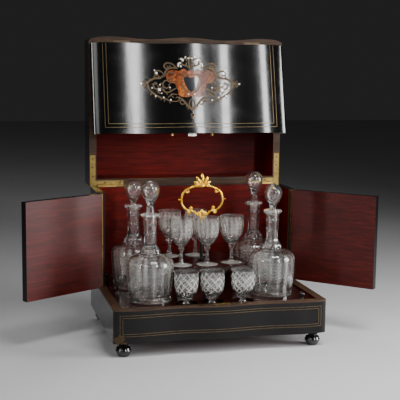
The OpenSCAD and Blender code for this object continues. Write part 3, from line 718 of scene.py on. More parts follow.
def settle(
    mesh: bpy.types.Mesh,
    at: Vector,
    finishes: Sequence[Finish],
    sharp: float,
    body: str,
    stands_for: Sequence[str],
) -> bpy.types.Object:
    """Finishes a mesh, makes its object and puts it on a body.

    Args:
        mesh: The mesh, whose name the object takes.
        at: The object's origin.
        finishes: Its finishes, in the order of the faces' indices.
        sharp: The angle from which an edge shows as sharp.
        body: The CAD body that it moves with.
        stands_for: CAD nodes that it replaces.

    Returns:
        The object.
    """
    for finish in finishes:
        mesh.materials.append(material_of(finish))
    mesh.polygons.foreach_set("use_smooth", [True] * len(mesh.polygons))
    mesh.set_sharp_from_angle(angle=math.radians(sharp))
    made = bpy.data.objects.new(mesh.name, mesh)
    made.location = at
    bpy.context.scene.collection.objects.link(made)
    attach(made, body)
    if stands_for:
        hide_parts(*stands_for)
    LOG.info("%s rides on %s, %d faces", made.name, body, len(mesh.polygons))
    return made


@dataclass
class Joinery:
    """A CAD board copied with eased edges, and dressed side by side."""

    node: str
    body: str
    finishes: tuple[Finish, ...]
    slot: Slot = Slot.EBONISED
    bevel: float = 0.5
    pick: Pick = lambda normal, place: 0
    set_back: float = 0.0

    def build(self) -> None:
        """Copies the node's mesh, eases its edges and chooses each face's finish."""
        work = bmesh.new()
        work.from_mesh(bpy.data.objects[self.node].data)
        bmesh.ops.remove_doubles(work, verts=work.verts, dist=WELD_DISTANCE)
        bmesh.ops.dissolve_limit(
            work, angle_limit=math.radians(FLAT_ANGLE), verts=work.verts, edges=work.edges,
            use_dissolve_boundaries=False,
        )
        for vert in work.verts:
            if self.set_back and (vert.co.y - PLACE.shift.y) / MM < PLACE.fold_y - FRONT_MARGIN:
                vert.co.y += self.set_back * MM
        for face in work.faces:
            place = (face.calc_center_median() - PLACE.shift) / MM
            face.material_index = self.pick(face.normal, place)
        corner = math.radians(EASED_ANGLE)
        edges = [e for e in work.edges if len(e.link_faces) == 2 and e.calc_face_angle() > corner]
        if self.bevel:
            bmesh.ops.bevel(
                work, geom=edges, offset=self.bevel * MM, segments=2, profile=0.6, affect="EDGES",
                clamp_overlap=True, material=len(self.finishes) - 1, loop_slide=True,
            )
        mesh = bpy.data.meshes.new(self.node + "_dressed")
        work.to_mesh(mesh)
        work.free()
        if "custom_normal" in mesh.attributes:
            mesh.attributes.remove(mesh.attributes["custom_normal"])
        nodes = [self.node]
        made = settle(mesh, Vector(), self.finishes, CREASE_ANGLE, self.body, nodes)
        made.modifiers.new("even_normals", "WEIGHTED_NORMAL").keep_sharp = True


def facing(*ways: Point3) -> Pick:
    """Chooses finishes by the way that a face looks.

    Args:
        *ways: Directions, the first of which takes finish 1, the next finish 2.

    Returns:
        The choice for a face's normal and place, 0 where it looks another way.
    """

    def pick(normal: Vector, place: Vector) -> int:
        """The finish of one face."""
        looks = (i for i, way in enumerate(ways, 1) if normal.dot(Vector(way)) > FACING)
        return next(looks, 0)

    return pick


def eased(rings: Sequence[Point], steps: int) -> list[Point]:
    """Radius and height along a turned outline, eased between rings of height and radius."""
    made: list[Point] = []
    for (z0, r0), (z1, r1) in zip(rings, rings[1:]):
        for k in range(steps):
            share = (1 - math.cos(math.pi * k / steps)) / 2
            made.append((r0 + (r1 - r0) * share, z0 + (z1 - z0) * k / steps))
    return made + [(rings[-1][1], rings[-1][0])]


def flowing(points: Sequence[Point], per: int = 7) -> list[Point]:
    """A smooth line through points.

    Args:
        points: The points.
        per: Steps from each point to the next.

    Returns:
        The points of the line.
    """
    ends = [points[0], *points, points[-1]]
    line: list[Point] = []
    for a, b, c, d in zip(ends, ends[1:], ends[2:], ends[3:]):
        for t in (k / per for k in range(per)):
            line.append(tuple(
                0.5 * (2 * b[i] + (c[i] - a[i]) * t
                       + (2 * a[i] - 5 * b[i] + 4 * c[i] - d[i]) * t * t
                       + (3 * b[i] - a[i] - 3 * c[i] + d[i]) * t ** 3)
                for i in range(2)
            ))
    return line + [points[-1]]


def between(line: Sequence[Point], x: float) -> float:
    """The height of a line, which runs to the right, at x."""
    for (x0, z0), (x1, z1) in zip(line, line[1:]):
        if x0 <= x <= x1 and x1 > x0:
            return z0 + (z1 - z0) * (x - x0) / (x1 - x0)
    return line[0][1] if x < line[0][0] else line[-1][1]


def mirrored(line: Sequence[Point]) -> list[Point]:
    """The mirror image of a line, run the other way."""
    return [(-x, z) for x, z in line][::-1]


class Inlay(Piece):
    """Thin shapes let into the serpentine front, drawn across and up."""

    leaf_steps = 8

    def strip(self, lower: Sequence[Point], upper: Sequence[Point], proud: float) -> None:
        """Adds a plate between two edges that have equally many points.

        Args:
            lower: One edge.
            upper: The other edge.
            proud: How far its face stands out of the front.
        """
        rings = []
        for (x0, z0), (x1, z1) in zip(lower, upper):
            a, b = PLACE.front(x0), PLACE.front(x1)
            outer = [(x0, a - proud, z0), (x1, b - proud, z1)]
            rings.append([*outer, (x1, b + INLAY_SUNK, z1), (x0, a + INLAY_SUNK, z0)])
        self.skin(rings)

    def ribbon(self, line: Sequence[Point], width: Width, proud: float) -> None:
        """Adds a band of varying width along a line.

        Args:
            line: Its middle line.
            width: Its width at a share from 0 to 1 of the line.
            proud: How far it stands out.
        """
        left, right = [], []
        for i, (x, z) in enumerate(line):
            x0, z0 = line[max(i - 1, 0)]
            x1, z1 = line[min(i + 1, len(line) - 1)]
            length = math.hypot(x1 - x0, z1 - z0) or 1.0
            half = width(i / (len(line) - 1)) / 2
            nx, nz = -(z1 - z0) / length * half, (x1 - x0) / length * half
            left.append((x + nx, z + nz))
            right.append((x - nx, z - nz))
        self.strip(right, left, proud)

    def pair(self, line: Sequence[Point], width: Width, proud: float) -> None:
        """Adds a ribbon and its mirror image."""
        self.ribbon(line, width, proud)
        self.ribbon(mirrored(line), lambda t: width(1 - t), proud)

    def leaf(
        self, x: float, z: float, angle: float, length: float, width: float, proud: float
    ) -> None:
        """Adds a pointed leaf from a point, and its mirror image."""
        a = math.radians(angle)
        reach = [length * i / self.leaf_steps for i in range(self.leaf_steps + 1)]
        line = [(x + math.cos(a) * far, z + math.sin(a) * far) for far in reach]

        def belly(t: float) -> float:
            """The leaf's width at a share of its length."""
            return 0.15 + width * math.sin(math.pi * min(1.0, t * 0.9 + 0.05)) ** 0.8

        self.pair(line, belly, proud)

    def dot(self, x: float, z: float, radius: float, proud: float) -> None:
        """Adds a round inlay and its mirror image."""
        steps = self.leaf_steps
        line = [(x - radius + 2 * radius * i / steps, z) for i in range(steps + 1)]

        def chord(t: float) -> float:
            """The disc's width at a share of its way across."""
            return 0.08 + 2 * radius * math.sqrt(max(0.0, 1 - (2 * t - 1) ** 2))

        self.pair(line, chord, proud)

    def frame(self, sides: Point, lows: Point, tops: Point, proud: float, closed: bool) -> None:
        """Adds two nested rectangles of thin line.

        Args:
            sides: How far from the middle the upright lines stand, outer first.
            lows: The heights of the lower lines, outer first.
            tops: The heights of the upper lines, inner first.
            proud: How far they stand out.
            closed: Whether there are upper lines.
        """
        half, steps = 0.4, 110
        for side, low, top in zip(sides, lows, tops[::-1]):
            across = [-side + 2 * side * i / steps for i in range(steps + 1)]
            for z in (low, top) if closed else (low,):
                self.strip([(x, z - half) for x in across], [(x, z + half) for x in across], proud)
            for x in (-side, side):
                ends = ([(x + way * half, low), (x + way * half, top)] for way in (-1, 1))
                self.strip(*ends, proud)


SCROLLS: tuple[tuple[float, Line], ...] = (
    (0.9, ((14, 170), (17, 160), (12, 148), (4, 141), (0, 139))),
    (0.8, ((0, 172), (6, 171.5), (12, 173), (14, 169))),
    (2.2, ((22, 182), (32, 183.5), (40, 180), (45, 172), (52, 167), (61, 166), (69, 162),
           (76, 158), (84, 156.5))),
    (1.6, ((22, 182), (27, 187), (33, 191), (40, 191.5), (44, 188), (43, 183.5), (39, 182.5),
           (37.5, 185.5), (40, 187))),
    (1.3, ((45, 172), (49, 177), (55, 179), (60, 176), (59.5, 171.5), (56, 171.5), (55.5, 174))),
    (1.8, ((70, 163), (73, 157), (71, 149), (65, 142), (58, 137), (50, 133), (43, 131),
           (37, 128), (30, 127))),
    (1.2, ((30, 127), (24, 127.5), (21, 131), (24, 134), (27.5, 132.5))),
    (1.4, ((41, 163), (46, 160), (47, 153), (42, 149.5), (37, 152), (38.5, 156))),
    (1.3, ((24, 150), (30, 147), (37, 143), (44, 143), (49, 148), (46.5, 152))),
    (1.3, ((58, 160), (63, 156), (62, 150), (57, 148), (54.5, 151.5), (57, 154))),
    (1.2, ((24, 138), (30, 139.5), (36, 137), (40, 133))),
    (1.0, ((48, 141), (54, 141.5), (58, 145))),
    (1.8, ((22, 135), (16, 130), (11, 124), (6, 118), (0, 111))),
    (1.1, ((16, 130), (20, 126.5), (18, 122.5), (13.5, 122.5), (12.5, 125.5))),
    (1.2, ((0, 131), (4, 126), (4.5, 120), (0, 114))),
    (1.5, ((0, 181), (5, 186), (12, 188), (18, 192), (22, 189), (20.5, 185), (17, 186))),
    (1.1, ((0, 203), (4, 199), (10, 198.5), (16, 200), (20, 197))),
    (1.3, ((0, 203.5), (2.2, 197), (2.4, 189), (0, 181))),
    (1.0, ((24, 176), (30, 175), (36, 176), (41, 173))),
    (1.1, ((25, 158), (31, 160.5), (37, 160), (41, 163))),
    (0.8, ((30, 170), (35, 167), (34, 163), (30, 164))),
    (0.8, ((76, 159.5), (78, 162), (81, 161), (80, 158))),
    (0.8, ((76, 156), (78, 153), (81, 153.5), (80, 156))),
)
BRASS_LEAVES: tuple[Leaf, ...] = (
    (48, 168, 150, 7, 2.2), (52, 166, 60, 6, 2), (62, 165, 100, 6, 2), (66, 162, 40, 6, 1.8),
    (33, 183, 70, 6, 2), (28, 183, 120, 5, 1.8), (70, 152, -10, 6, 2), (66, 143, -60, 6, 2),
    (60, 138, -80, 6, 1.8), (52, 134, -100, 5.5, 1.8), (45, 131, -70, 5, 1.6),
    (38, 128, -110, 5, 1.6), (46, 157, 10, 6, 2), (38, 148, -150, 5, 1.8), (44, 146, 30, 6, 2),
    (52, 153, -120, 5, 1.6), (33, 141, -60, 5, 1.8), (10, 121, -100, 5, 1.8),
    (6, 117, -70, 5, 1.6), (14, 127, 20, 5, 1.6), (8, 187, 110, 6, 2), (14, 190, 80, 6, 1.8),
    (5, 194, 60, 5, 1.6), (36, 155, 100, 4, 1.5), (56, 158, -30, 5, 1.7), (40, 138, 60, 5, 1.7),
    (30, 133, 40, 5, 1.6), (52, 146, 90, 5, 1.6), (66, 156, 170, 5, 1.6),
)
PEARL_LEAVES: tuple[Leaf, ...] = (
    (11, 197, 12, 6, 2.6), (12, 194, 75, 5, 2.4), (16, 192, -25, 6, 2.6), (5, 199, 165, 4, 1.8),
    (20, 190, -80, 5, 2.2), (17, 188, -110, 4, 2.0), (9, 199.5, 120, 4, 1.8),
    *((53.5, 147, angle, 3.0, 2.0) for angle in (45, 135, 225, 315)),
)
PEARL_DOTS: tuple[Point3, ...] = (
    (57.3, 175, 1.9), (60.5, 179.5, 1.1), (84, 157, 1.4), (65.7, 150, 1.1), (52.3, 155.3, 1.2),
    (53.5, 147, 1.4), (60.2, 136.4, 1.3), (46.9, 134, 1.2), (35.4, 129.6, 1.3), (35.7, 150.4, 1.1),
    (5.2, 138.9, 1.3), (50, 141, 0.9),
)


@dataclass
class Cartouche:
    """The scrolled inlay on the front panel, in brass, burl and mother-of-pearl."""

    burl_low: Line = (
        (-42, 168), (-37, 159), (-28, 157), (-23, 146), (-22, 138), (-12, 134), (0, 136)
    )
    burl_high: Line = (
        (-42, 172), (-38, 178), (-29, 180), (-20, 178), (-12, 182), (-6, 178), (0, 180)
    )
    shield_low: Line = (
        (-12.6, 165), (-11, 158), (-7, 149), (0, 142.5), (7, 149), (11, 158), (12.6, 165)
    )
    shield_high: Line = (
        (-12.6, 165.4), (-9.5, 168.6), (-5, 168.4), (0, 166.6), (5, 168.4), (9.5, 168.6),
        (12.6, 165.4),
    )
    string_low: Point = (84.0, 90.0)
    string_side: Point = (146.0, 140.5)
    string_top: Point = (223.0, 223.0)

    def plate(
        self, made: Inlay, edges: Sequence[Sequence[Point]], half: float, steps: int, proud: float
    ) -> None:
        """Adds a plate between a lower and an upper edge.

        Args:
            made: The piece that it goes into.
            edges: The two edges.
            half: Half of its width.
            steps: Strips from side to side.
            proud: How far it stands out.
        """
        across = [half * (2 * i / steps - 1) for i in range(steps + 1)]
        low, high = ([(x, between(edge, x)) for x in across] for edge in edges)
        made.strip(low, high, proud)

    def wood(self) -> None:
        """The plate of burl and the dark shield on it."""
        halves = [flowing(edge) for edge in (self.burl_low, self.burl_high)]
        burl = Inlay("cartouche_burl", Burl("amber_burl"))
        self.plate(burl, [half + mirrored(half)[1:] for half in halves], 41.9, 72, 0.16)
        burl.ride("panel", Slot.MAHOGANY, Turn.PANEL)
        shield = Inlay("cartouche_shield", HORN)
        edges = [flowing(edge) for edge in (self.shield_low, self.shield_high)]
        self.plate(shield, edges, 12.5, 28, 0.30)
        shield.ride("panel", Slot.EBONISED, Turn.PANEL)

    def scrolls(self) -> None:
        """The brass scrolls, sprigs and leaves round the burl."""
        brass = Inlay("cartouche_scrolls", SCROLL)
        for wide, points in SCROLLS:

            def swell(t: float, wide: float = wide) -> float:
                """The bar's width at a share of its length."""
                return 0.8 + 1.3 * wide * math.sin(math.pi * min(1.0, 0.12 + t * 0.8))

            brass.pair(flowing(points), swell, 0.24)
        for leaf in BRASS_LEAVES:
            brass.leaf(*leaf, 0.26)
        brass.ride("panel", Slot.BRASS, Turn.PANEL)

    def pearls(self) -> None:
        """The mother-of-pearl leaves and dots."""
        pearl = Inlay("cartouche_pearl", Pearl("mother_of_pearl"))
        for leaf in PEARL_LEAVES:
            pearl.leaf(*leaf, 0.36)
        for dot in PEARL_DOTS:
            pearl.dot(*dot, 0.34)
        pearl.ride("panel", Slot.GLASS, Turn.PANEL)

    def build(self) -> None:
        """Builds all of the inlay, and the double brass lines near the panel's edges."""
        self.wood()
        self.scrolls()
        self.pearls()
        lines = Inlay("panel_stringing", STRING)
        lines.frame(self.string_side, self.string_low, self.string_top, 0.14, closed=False)
        lines.ride("panel", Slot.BRASS, Turn.PANEL)


def panels(count: int, share: float, low: float, high: float) -> Cut:
    """A cut of flat upright panels.

    Args:
        count: Panels round the glass.
        share: How much of a full facet is cut, from 0 to 1.
        low: The height where they start.
        high: The height where they end.

    Returns:
        The depth cut away at an angle, height and radius.
    """
    half = math.pi / count

    def depth(angle: float, z: float, r: float) -> float:
        """The depth at one point."""
        fade = max(0.0, min(1.0, (z - low) / 2.0, (high - z) / 2.0))
        off = (angle % (2 * half)) - half
        return max(0.0, r - r * math.cos(half) / math.cos(off)) * share * fade

    return depth


def lattice(count: int, pitch: float, deep: float, low: float, high: float) -> Cut:
    """A cut of crossing slanted grooves.

    Args:
        count: Grooves round the glass, each way.
        pitch: Radians of turn for each millimetre of height.
        deep: Depth of a groove.
        low: The height where they start.
        high: The height where they end.

    Returns:
        The depth cut away at an angle, height and radius.
    """

    def depth(angle: float, z: float, r: float) -> float:
        """The depth at one point."""
        fade = max(0.0, min(1.0, (z - low) / 2.5, (high - z) / 2.5))
        near = min(abs(math.sin((count * angle + way * pitch * z) / 2)) for way in (-1, 1))
        return deep * fade * max(0.0, 1 - near / 0.38)

    return depth


def outside_only(outer: Sequence[Point], cut: Cut) -> Cut:
    """Keeps a cut to the outer outline of a hollow glass."""
    marked = set(outer)
    return lambda angle, z, r: cut(angle, z, r) if (r, z) in marked else 0.0


def quarter(steps: int) -> list[Point]:
    """The cosine and sine of equal steps over a quarter of a turn, without its start."""
    turns = (math.pi / 2 * i / steps for i in range(1, steps + 1))
    return [(math.cos(a), math.sin(a)) for a in turns]


@dataclass
class Decanter:
    """A cut decanter and its hollow stopper."""

    name: str
    at: Point3
    rise: float
    height: float = 134.0
    radius: float = 36.0
    neck: float = 9.3
    bore: float = 6.3
    lip: float = 14.6
    wall: float = 3.5
    shoulder: float = 0.42
    dome: float = 0.118
    throat: float = 1.62
    hollow_shoulder: float = 0.41
    hollow_dome: float = 0.115
    neck_rings: Line = (
        (0.545, 1.55), (0.562, 1.78), (0.580, 1.6), (0.655, 1.02), (0.765, 0.98), (0.778, 1.13),
        (0.79, 0.98), (0.868, 1.03), (0.884, 1.2), (0.898, 1.04), (0.945, 1.08),
    )
    foot_rings: Line = ((0.83, 0.0), (0.875, 0.7), (0.885, 2.2))
    floor: float = 6.2
    ball: float = 14.4
    ball_h: float = 41.0
    ball_wall: float = 3.4
    shank: float = 6.0
    shank_l: float = 14.0
    waist: float = 3.4

    def outside(self) -> list[Point]:
        """The outer outline, from the foot to the lip."""
        h, r, n = self.height, self.radius, self.neck
        side, throat = h * self.shoulder, n * self.throat
        line = [(r * wide, z) for wide, z in self.foot_rings]
        wide, foot = self.foot_rings[-1]
        for i in range(1, 15):
            swell = (1.0 - wide) * math.sin(i / 14 * math.pi / 2)
            line.append((r * (wide + swell), foot + (side - foot) * i / 14))
        line += [(throat + (r - throat) * c, side + h * self.dome * s) for c, s in quarter(10)]
        rings = [(h * z, n * wide) for z, wide in self.neck_rings]
        rings += [(h * 0.978, self.lip * 0.985), (h * 0.988, self.lip), (h, self.lip * 0.9)]
        return line + eased(rings, 5)

    def inside(self) -> list[Point]:
        """The inner outline, from the mouth down to the floor."""
        h, r, bore, wide = self.height, self.radius, self.bore, self.radius - self.wall
        flare = bore * 1.5
        rings = [(h, bore + 0.6), (h * 0.985, bore), (h * 0.88, bore), (h * 0.6, bore)]
        line = eased([*rings, (h * 0.535, flare)], 4)
        side, dome = h * self.hollow_shoulder, h * self.hollow_dome
        arch = [(flare + (wide - flare) * s, side + dome * c) for c, s in quarter(10)]
        low = [(r * 0.93 - self.wall, h * 0.12), (r * 0.88 - self.wall, 9.5)]
        return line + arch + [(wide - 0.4, h * 0.3), *low, (r * 0.78, 7.6), (r * 0.5, 6.6)]

    def bottle(self) -> None:
        """The bottle, with broad panels below and narrow ones up the neck."""
        h = self.height
        bodies = panels(count=14, share=0.25, low=4.0, high=h * 0.41)
        necks = panels(count=8, share=0.9, low=h * 0.50, high=h * 0.765)
        outer = self.outside()
        cut = outside_only(outer, lambda *at: bodies(*at) + necks(*at))
        glass = Piece("cut_decanter_" + self.name, ENGRAVED)
        profile = [(0.0, 0.8), *outer, *self.inside(), (0.0, self.floor)]
        glass.turned(profile, self.at, steps=112, cut=cut)
        node = "decanter_" + self.name
        glass.ride(
            "decanter_body_" + self.name, Slot.GLASS, stands_for=[node], origin=self.at, sharp=25
        )

    def stopper(self) -> None:
        """The hollow stopper, with its ground shank."""
        low, top, foot, shank = self.rise, self.rise + self.ball_h, -self.shank_l, self.shank
        widest, first, narrow = low + self.ball_h * 0.66, low + self.waist, shank * 0.72
        outer: list[Point] = [(shank - 0.7, foot), (shank - 0.2, foot + 0.6), (shank, foot + 1.6)]
        outer += eased([(low + 0.3, shank), (first, narrow)], 4)
        for i, (_, s) in enumerate(quarter(12), 1):
            wide = narrow + (self.ball - narrow) * s ** 1.12
            outer.append((wide, first + (widest - first) * i / 12))
        outer += [(self.ball * c, widest + (top - widest) * s) for c, s in quarter(12)[:-1]]
        made = Piece("stopper_" + self.name + "_blown", CLEAR)
        at = (self.at[0], self.at[1], self.at[2] + self.height)
        facets = panels(count=8, share=0.18, low=low + 6, high=widest + 2)
        made.turned([(0.0, foot), *outer, (0.0, top)], at, steps=60, cut=facets)
        middle, floor, dome = widest - 0.6, low + 12, self.ball_h * 0.30
        hollow: list[Point] = [(0.0, floor)]
        for i in range(1, 16):
            a = math.pi * i / 16
            z = middle - math.cos(a) * (dome if math.cos(a) < 0 else middle - floor)
            hollow.append(((self.ball - self.ball_wall) * math.sin(a) ** 1.1, z))
        hollow.append((0.0, middle + dome))
        made.cavity = len(made.faces)
        made.turned(hollow, at, steps=40)
        node = "stopper_" + self.name
        made.ride(
            "stopper_body_" + self.name, Slot.GLASS, stands_for=[node], origin=at, sharp=25
        )

    def build(self) -> None:
        """Builds the bottle and its stopper."""
        self.bottle()
        self.stopper()


@dataclass
class CordialGlass:
    """A stemmed glass with a cut bowl."""

    name: str
    body: str
    node: str
    crossed: bool = False
    height: float = 76.0
    radius: float = 19.0
    foot: float = 16.5
    stem: float = 31.0
    wall: float = 1.5
    knop_rings: Line = ((3.6, 4.6), (6, 3.0), (8, 3.9), (10, 2.6))
    neck_rings: Line = ((0.62, 2.4), (0.80, 3.1), (0.88, 5.2), (0.95, 4.0), (1, 5.0))
    bowl: Line = (
        (5.0, 0), (9.2, 3.6), (13.6, 9.5), (16.6, 16), (18.1, 23), (18.8, 31)
    )
    hollow: Line = ((18.8, 31), (18.1, 23.4), (16.6, 16.8), (13.4, 10.8))

    def outside(self) -> list[Point]:
        """The outer outline, from the foot to the rim."""
        h, r, s = self.height, self.radius, self.stem
        neck = ((s * z, wide) for z, wide in self.neck_rings)
        rings = [(1.2, self.foot), *self.knop_rings, *neck]
        bowl = [*((wide, s + z) for wide, z in self.bowl), (r, h - 5), (r - 0.1, h - 0.3)]
        foot = [(self.foot - 0.5, 0.0), (self.foot, 0.6)]
        return foot + eased(rings, 4) + flowing(bowl, 6)[1:]

    def inside(self) -> list[Point]:
        """The inner outline, from the rim down to the bottom of the bowl."""
        h, r, s, wall = self.height, self.radius, self.stem, self.wall
        side = [(r - wall, h - 2), *((wide - wall, s + z) for wide, z in self.hollow)]
        rim = [(r - 0.5, h), (r - wall, h - 0.6)]
        return rim + flowing([*side, (7.6, s + 6), (0.6, s + 4.2)], 5)

    def build(self) -> None:
        """Builds the glass, which replaces its node."""
        s, high = self.stem, self.height - 6
        flutes = panels(count=10, share=0.8, low=s + 1, high=s + 16)
        if self.crossed:
            finish, deep, low = CROSSED, 0.06, s + 13
        else:
            finish, deep, low = SPRIGGED, 0.16, s + 10
        grooves = lattice(finish.crossed or finish.sprays, finish.pitch, deep, low, high)
        outer = self.outside()
        cut = outside_only(outer, lambda *at: max(flutes(*at), grooves(*at)))
        glass = Piece(self.name, finish)
        centre = PLACE.foot(self.node)
        profile = [(0.0, 0.5), *outer, *self.inside(), (0.0, s + 4.0)]
        glass.turned(profile, centre, steps=90, cut=cut)
        glass.ride(self.body, Slot.GLASS, stands_for=[self.node], origin=centre, sharp=28)


@dataclass
class GiltHandle:
    """The scrolled lifting handle on its stem, with a palmette above and a leaf below."""

    y: float = 15.0
    z: float = 213.0
    bar: float = 1.9
    narrow: float = 0.94
    palmette: float = 20.5
    palmette_z: float = 22.6
    fan: float = 29.0
    leaf_z: float = -28.5
    drop_z: float = -27.0
    stem: float = 67.0
    upper_scroll: Line = (
        (3, 22.8), (9, 22.6), (15, 21.8), (21.5, 20.2), (28.5, 16.6), (33.8, 10.0), (36.0, 1.5),
        (35.2, -6), (31, -12), (25, -16.2), (20.5, -16.2), (17.8, -13.4), (19.4, -11.0),
        (21.4, -12.4),
    )
    lower_scroll: Line = (
        (24.0, -18.0), (24.6, -20.6), (21.8, -21.4), (21.0, -18.6), (17.5, -17.4), (13.6, -19.4),
        (10, -22.4), (6, -26.4), (2.5, -32.0), (0.6, -38.0),
    )
    curl: Line = ((30, 15.2), (27, 12.6), (24.0, 12.2), (23.0, 14.6), (25.2, 15.6))
    spur: Line = ((36.2, 1.4), (38.0, 1.4), (40.0, 1.4))
    buds: tuple[Point3, ...] = (
        (20.0, -12.6, 2.1), (23.4, -19.6, 2.1), (24.2, 14.0, 1.9), (40.4, 1.4, 1.25),
        (13, -18.6, 1.7),
    )
    leaf: tuple[Point3, ...] = (
        (0, 13.5, 6.4), (-34, 12.0, 5.0), (34, 12.0, 5.0), (-62, 9.5, 4.0), (62, 9.5, 4.0),
    )
    stem_rings: Line = (
        (0, 5.6), (2, 5.6), (3.6, 3.2), (8, 2.7), (40, 2.6), (52, 2.7), (56, 4.2), (59, 2.8),
        (67, 2.6),
    )

    def curve(self, piece: Piece, points: Sequence[Point], radius: Width) -> None:
        """Adds a flowing bar and its mirror image."""
        line = flowing(points, 6)
        for side in (-1, 1):
            piece.tube([(side * x * self.narrow, self.y, self.z + h) for x, h in line], radius)

    def blade(
        self, piece: Piece, foot: Point, angle: float, length: float, width: float, deep: float
    ) -> None:
        """Adds one round-ended lobe of a leaf, growing from a point at an angle from upright."""
        a, steps = math.radians(angle), 12
        path = []
        for t in (i / steps for i in range(steps + 1)):
            bend = math.sin(t * math.pi) * 0.06 * length
            out, up = math.sin(a) * length * t, math.cos(a) * length * t
            path.append((foot[0] + out, self.y - bend, self.z + foot[1] + up))

        def belly(t: float) -> float:
            """The lobe's half width at a share of its length."""
            return 0.2 + width / 2 * math.sin(math.pi * min(1.0, 0.06 + t * 0.94) ** 1.5) ** 0.6

        piece.tube(path, belly, deep)

    def ring(self) -> None:
        """The ring of two scrolls, its buds and beads."""
        made = Piece("handle_ring", GILDING)

        def even(t: float) -> float:
            """The bar's radius, fullest in the middle."""
            return self.bar * (0.72 + 0.28 * math.sin(math.pi * t))

        self.curve(made, self.upper_scroll, even)
        self.curve(made, self.lower_scroll, even)
        self.curve(made, self.curl, lambda t: 1.5 - 0.5 * t)
        self.curve(made, self.spur, lambda t: 1.5 - 0.8 * t)
        for side in (-self.narrow, self.narrow):
            for x, h, radius in self.buds:
                made.ball((side * x, self.y, self.z + h), radius)
            for x in (9 + i * 2.1 for i in range(8)):
                h = 22.9 - 0.0105 * (x - 3) ** 2
                made.ball((side * x, self.y - 0.4, self.z + h), self.bar * 1.02, (0.5, 1, 1))
        made.ride("rack", Slot.GILT, stands_for=["handle"])

    def leaves(self) -> None:
        """The palmette over the ring and the leaf under it."""
        made = Piece("handle_leaves", GILDING)
        for i in range(-3, 4):
            length = self.palmette - 3.2 * abs(i)
            foot, angle = (i * 1.0, self.palmette_z), i * self.fan
            self.blade(made, foot, angle, length, width=4.9, deep=0.5)
            self.blade(made, foot, angle, length * 0.86, width=1.3, deep=2.6)
        made.ball((0, self.y, self.z + 23), 4.2, (1.15, 0.8, 0.8))
        for angle, length, width in self.leaf:
            self.blade(made, (0, self.leaf_z), angle, length, width, deep=0.5)
            self.blade(made, (0, self.leaf_z), angle, length * 0.85, width=1.4, deep=2.2)
        for angle in (180, 162, 198):
            length = 14.0 - abs(angle - 180) * 0.12
            self.blade(made, (0, self.drop_z), angle, length, width=4.8, deep=0.6)
        made.ball((0, self.y, self.z - 28.0), 3.2, (1.2, 0.9, 0.8))
        made.ride("rack", Slot.GILT)

    def build(self) -> None:
        """Builds the handle and its rod, which replace two nodes."""
        self.ring()
        self.leaves()
        rod = Piece("handle_rod", RACK_BLACK)
        profile = [(0.0, 0.0), *eased(self.stem_rings, 5), (0.0, self.stem)]
        rod.turned(profile, PLACE.foot("handle_stem"), steps=32)
        rod.ride("rack", Slot.GILT, stands_for=["handle_stem"])


@dataclass
class Feet:
    """Four turned bun feet, by shares of their height and radius."""

    height: float = 22.0
    radius: float = 12.0
    rings: Line = (
        (0.0, 0.60), (0.06, 0.74), (0.40, 0.995), (0.60, 0.88), (0.70, 0.56), (0.74, 0.50),
        (0.78, 0.64), (0.83, 0.50), (0.90, 0.72), (1.0, 0.82),
    )

    def build(self) -> None:
        """Turns the feet, each in place of its node."""
        line = eased([(self.height * z, self.radius * r) for z, r in self.rings], 6)
        for node in ("foot_front_left", "foot_front_right", "foot_rear_left", "foot_rear_right"):
            foot = Piece(node + "_turned", POLISHED)
            foot.turned([(0.0, 0.0), *line, (0.0, self.height)], PLACE.foot(node), steps=48)
            foot.ride("case", Slot.EBONISED, stands_for=[node], sharp=60)


@dataclass
class Case:
    """The base with its rim and stringing, and the walls that stand on it."""

    inner_x: float = 154.0
    inner_back_y: float = 113.0
    string_sides: Point = (155.5, 151.5)
    string_lows: Point = (33.5, 37.0)
    string_tops: Point = (61.0, 64.5)
    string_proud: float = -0.02
    set_back: float = 0.17

    def lined(self, slack: float) -> Pick:
        """Chooses finish 1 for upright faces that look into the case, else 0."""

        def pick(normal: Vector, place: Vector) -> int:
            """The finish of one face."""
            across = abs(place.x) < self.inner_x + slack
            deep = PLACE.fold_y - slack < place.y < self.inner_back_y + slack
            return int(across and deep and abs(normal.z) < LEVEL)

        return pick

    def build(self) -> None:
        """Builds the case's wooden pieces."""
        boards = [
            Joinery(
                "base_walls", "case", (CHIPPED, INNER, WORN), Slot.EBONISED, 0.6, self.lined(0.2),
                self.set_back,
            ),
            Joinery("base_rim", "case", (RIM, DOOR, RIM), Slot.WALNUT, 0.35, self.lined(0.0)),
            Joinery("base_floor", "case", (INNER, INNER), Slot.MAHOGANY, 0.0),
            Joinery(
                "back_wall", "case", (LACQUER, INNER, RIM), Slot.MAHOGANY, 0.4, facing((0, -1, 0))
            ),
        ]
        for inward, name in ((1, "left"), (-1, "right")):
            sides = facing((inward, 0, 0), (0, -1, 0))
            finishes = (LACQUER, INNER, WORN)
            boards.append(
                Joinery("side_wall_" + name, "case", finishes, Slot.EBONISED, 0.4, sides)
            )
        for board in boards:
            board.build()
        lines = Inlay("base_stringing", STRING)
        lines.frame(
            self.string_sides, self.string_lows, self.string_tops, self.string_proud, closed=True
        )
        lines.ride("case", Slot.BRASS)
        Feet().build()


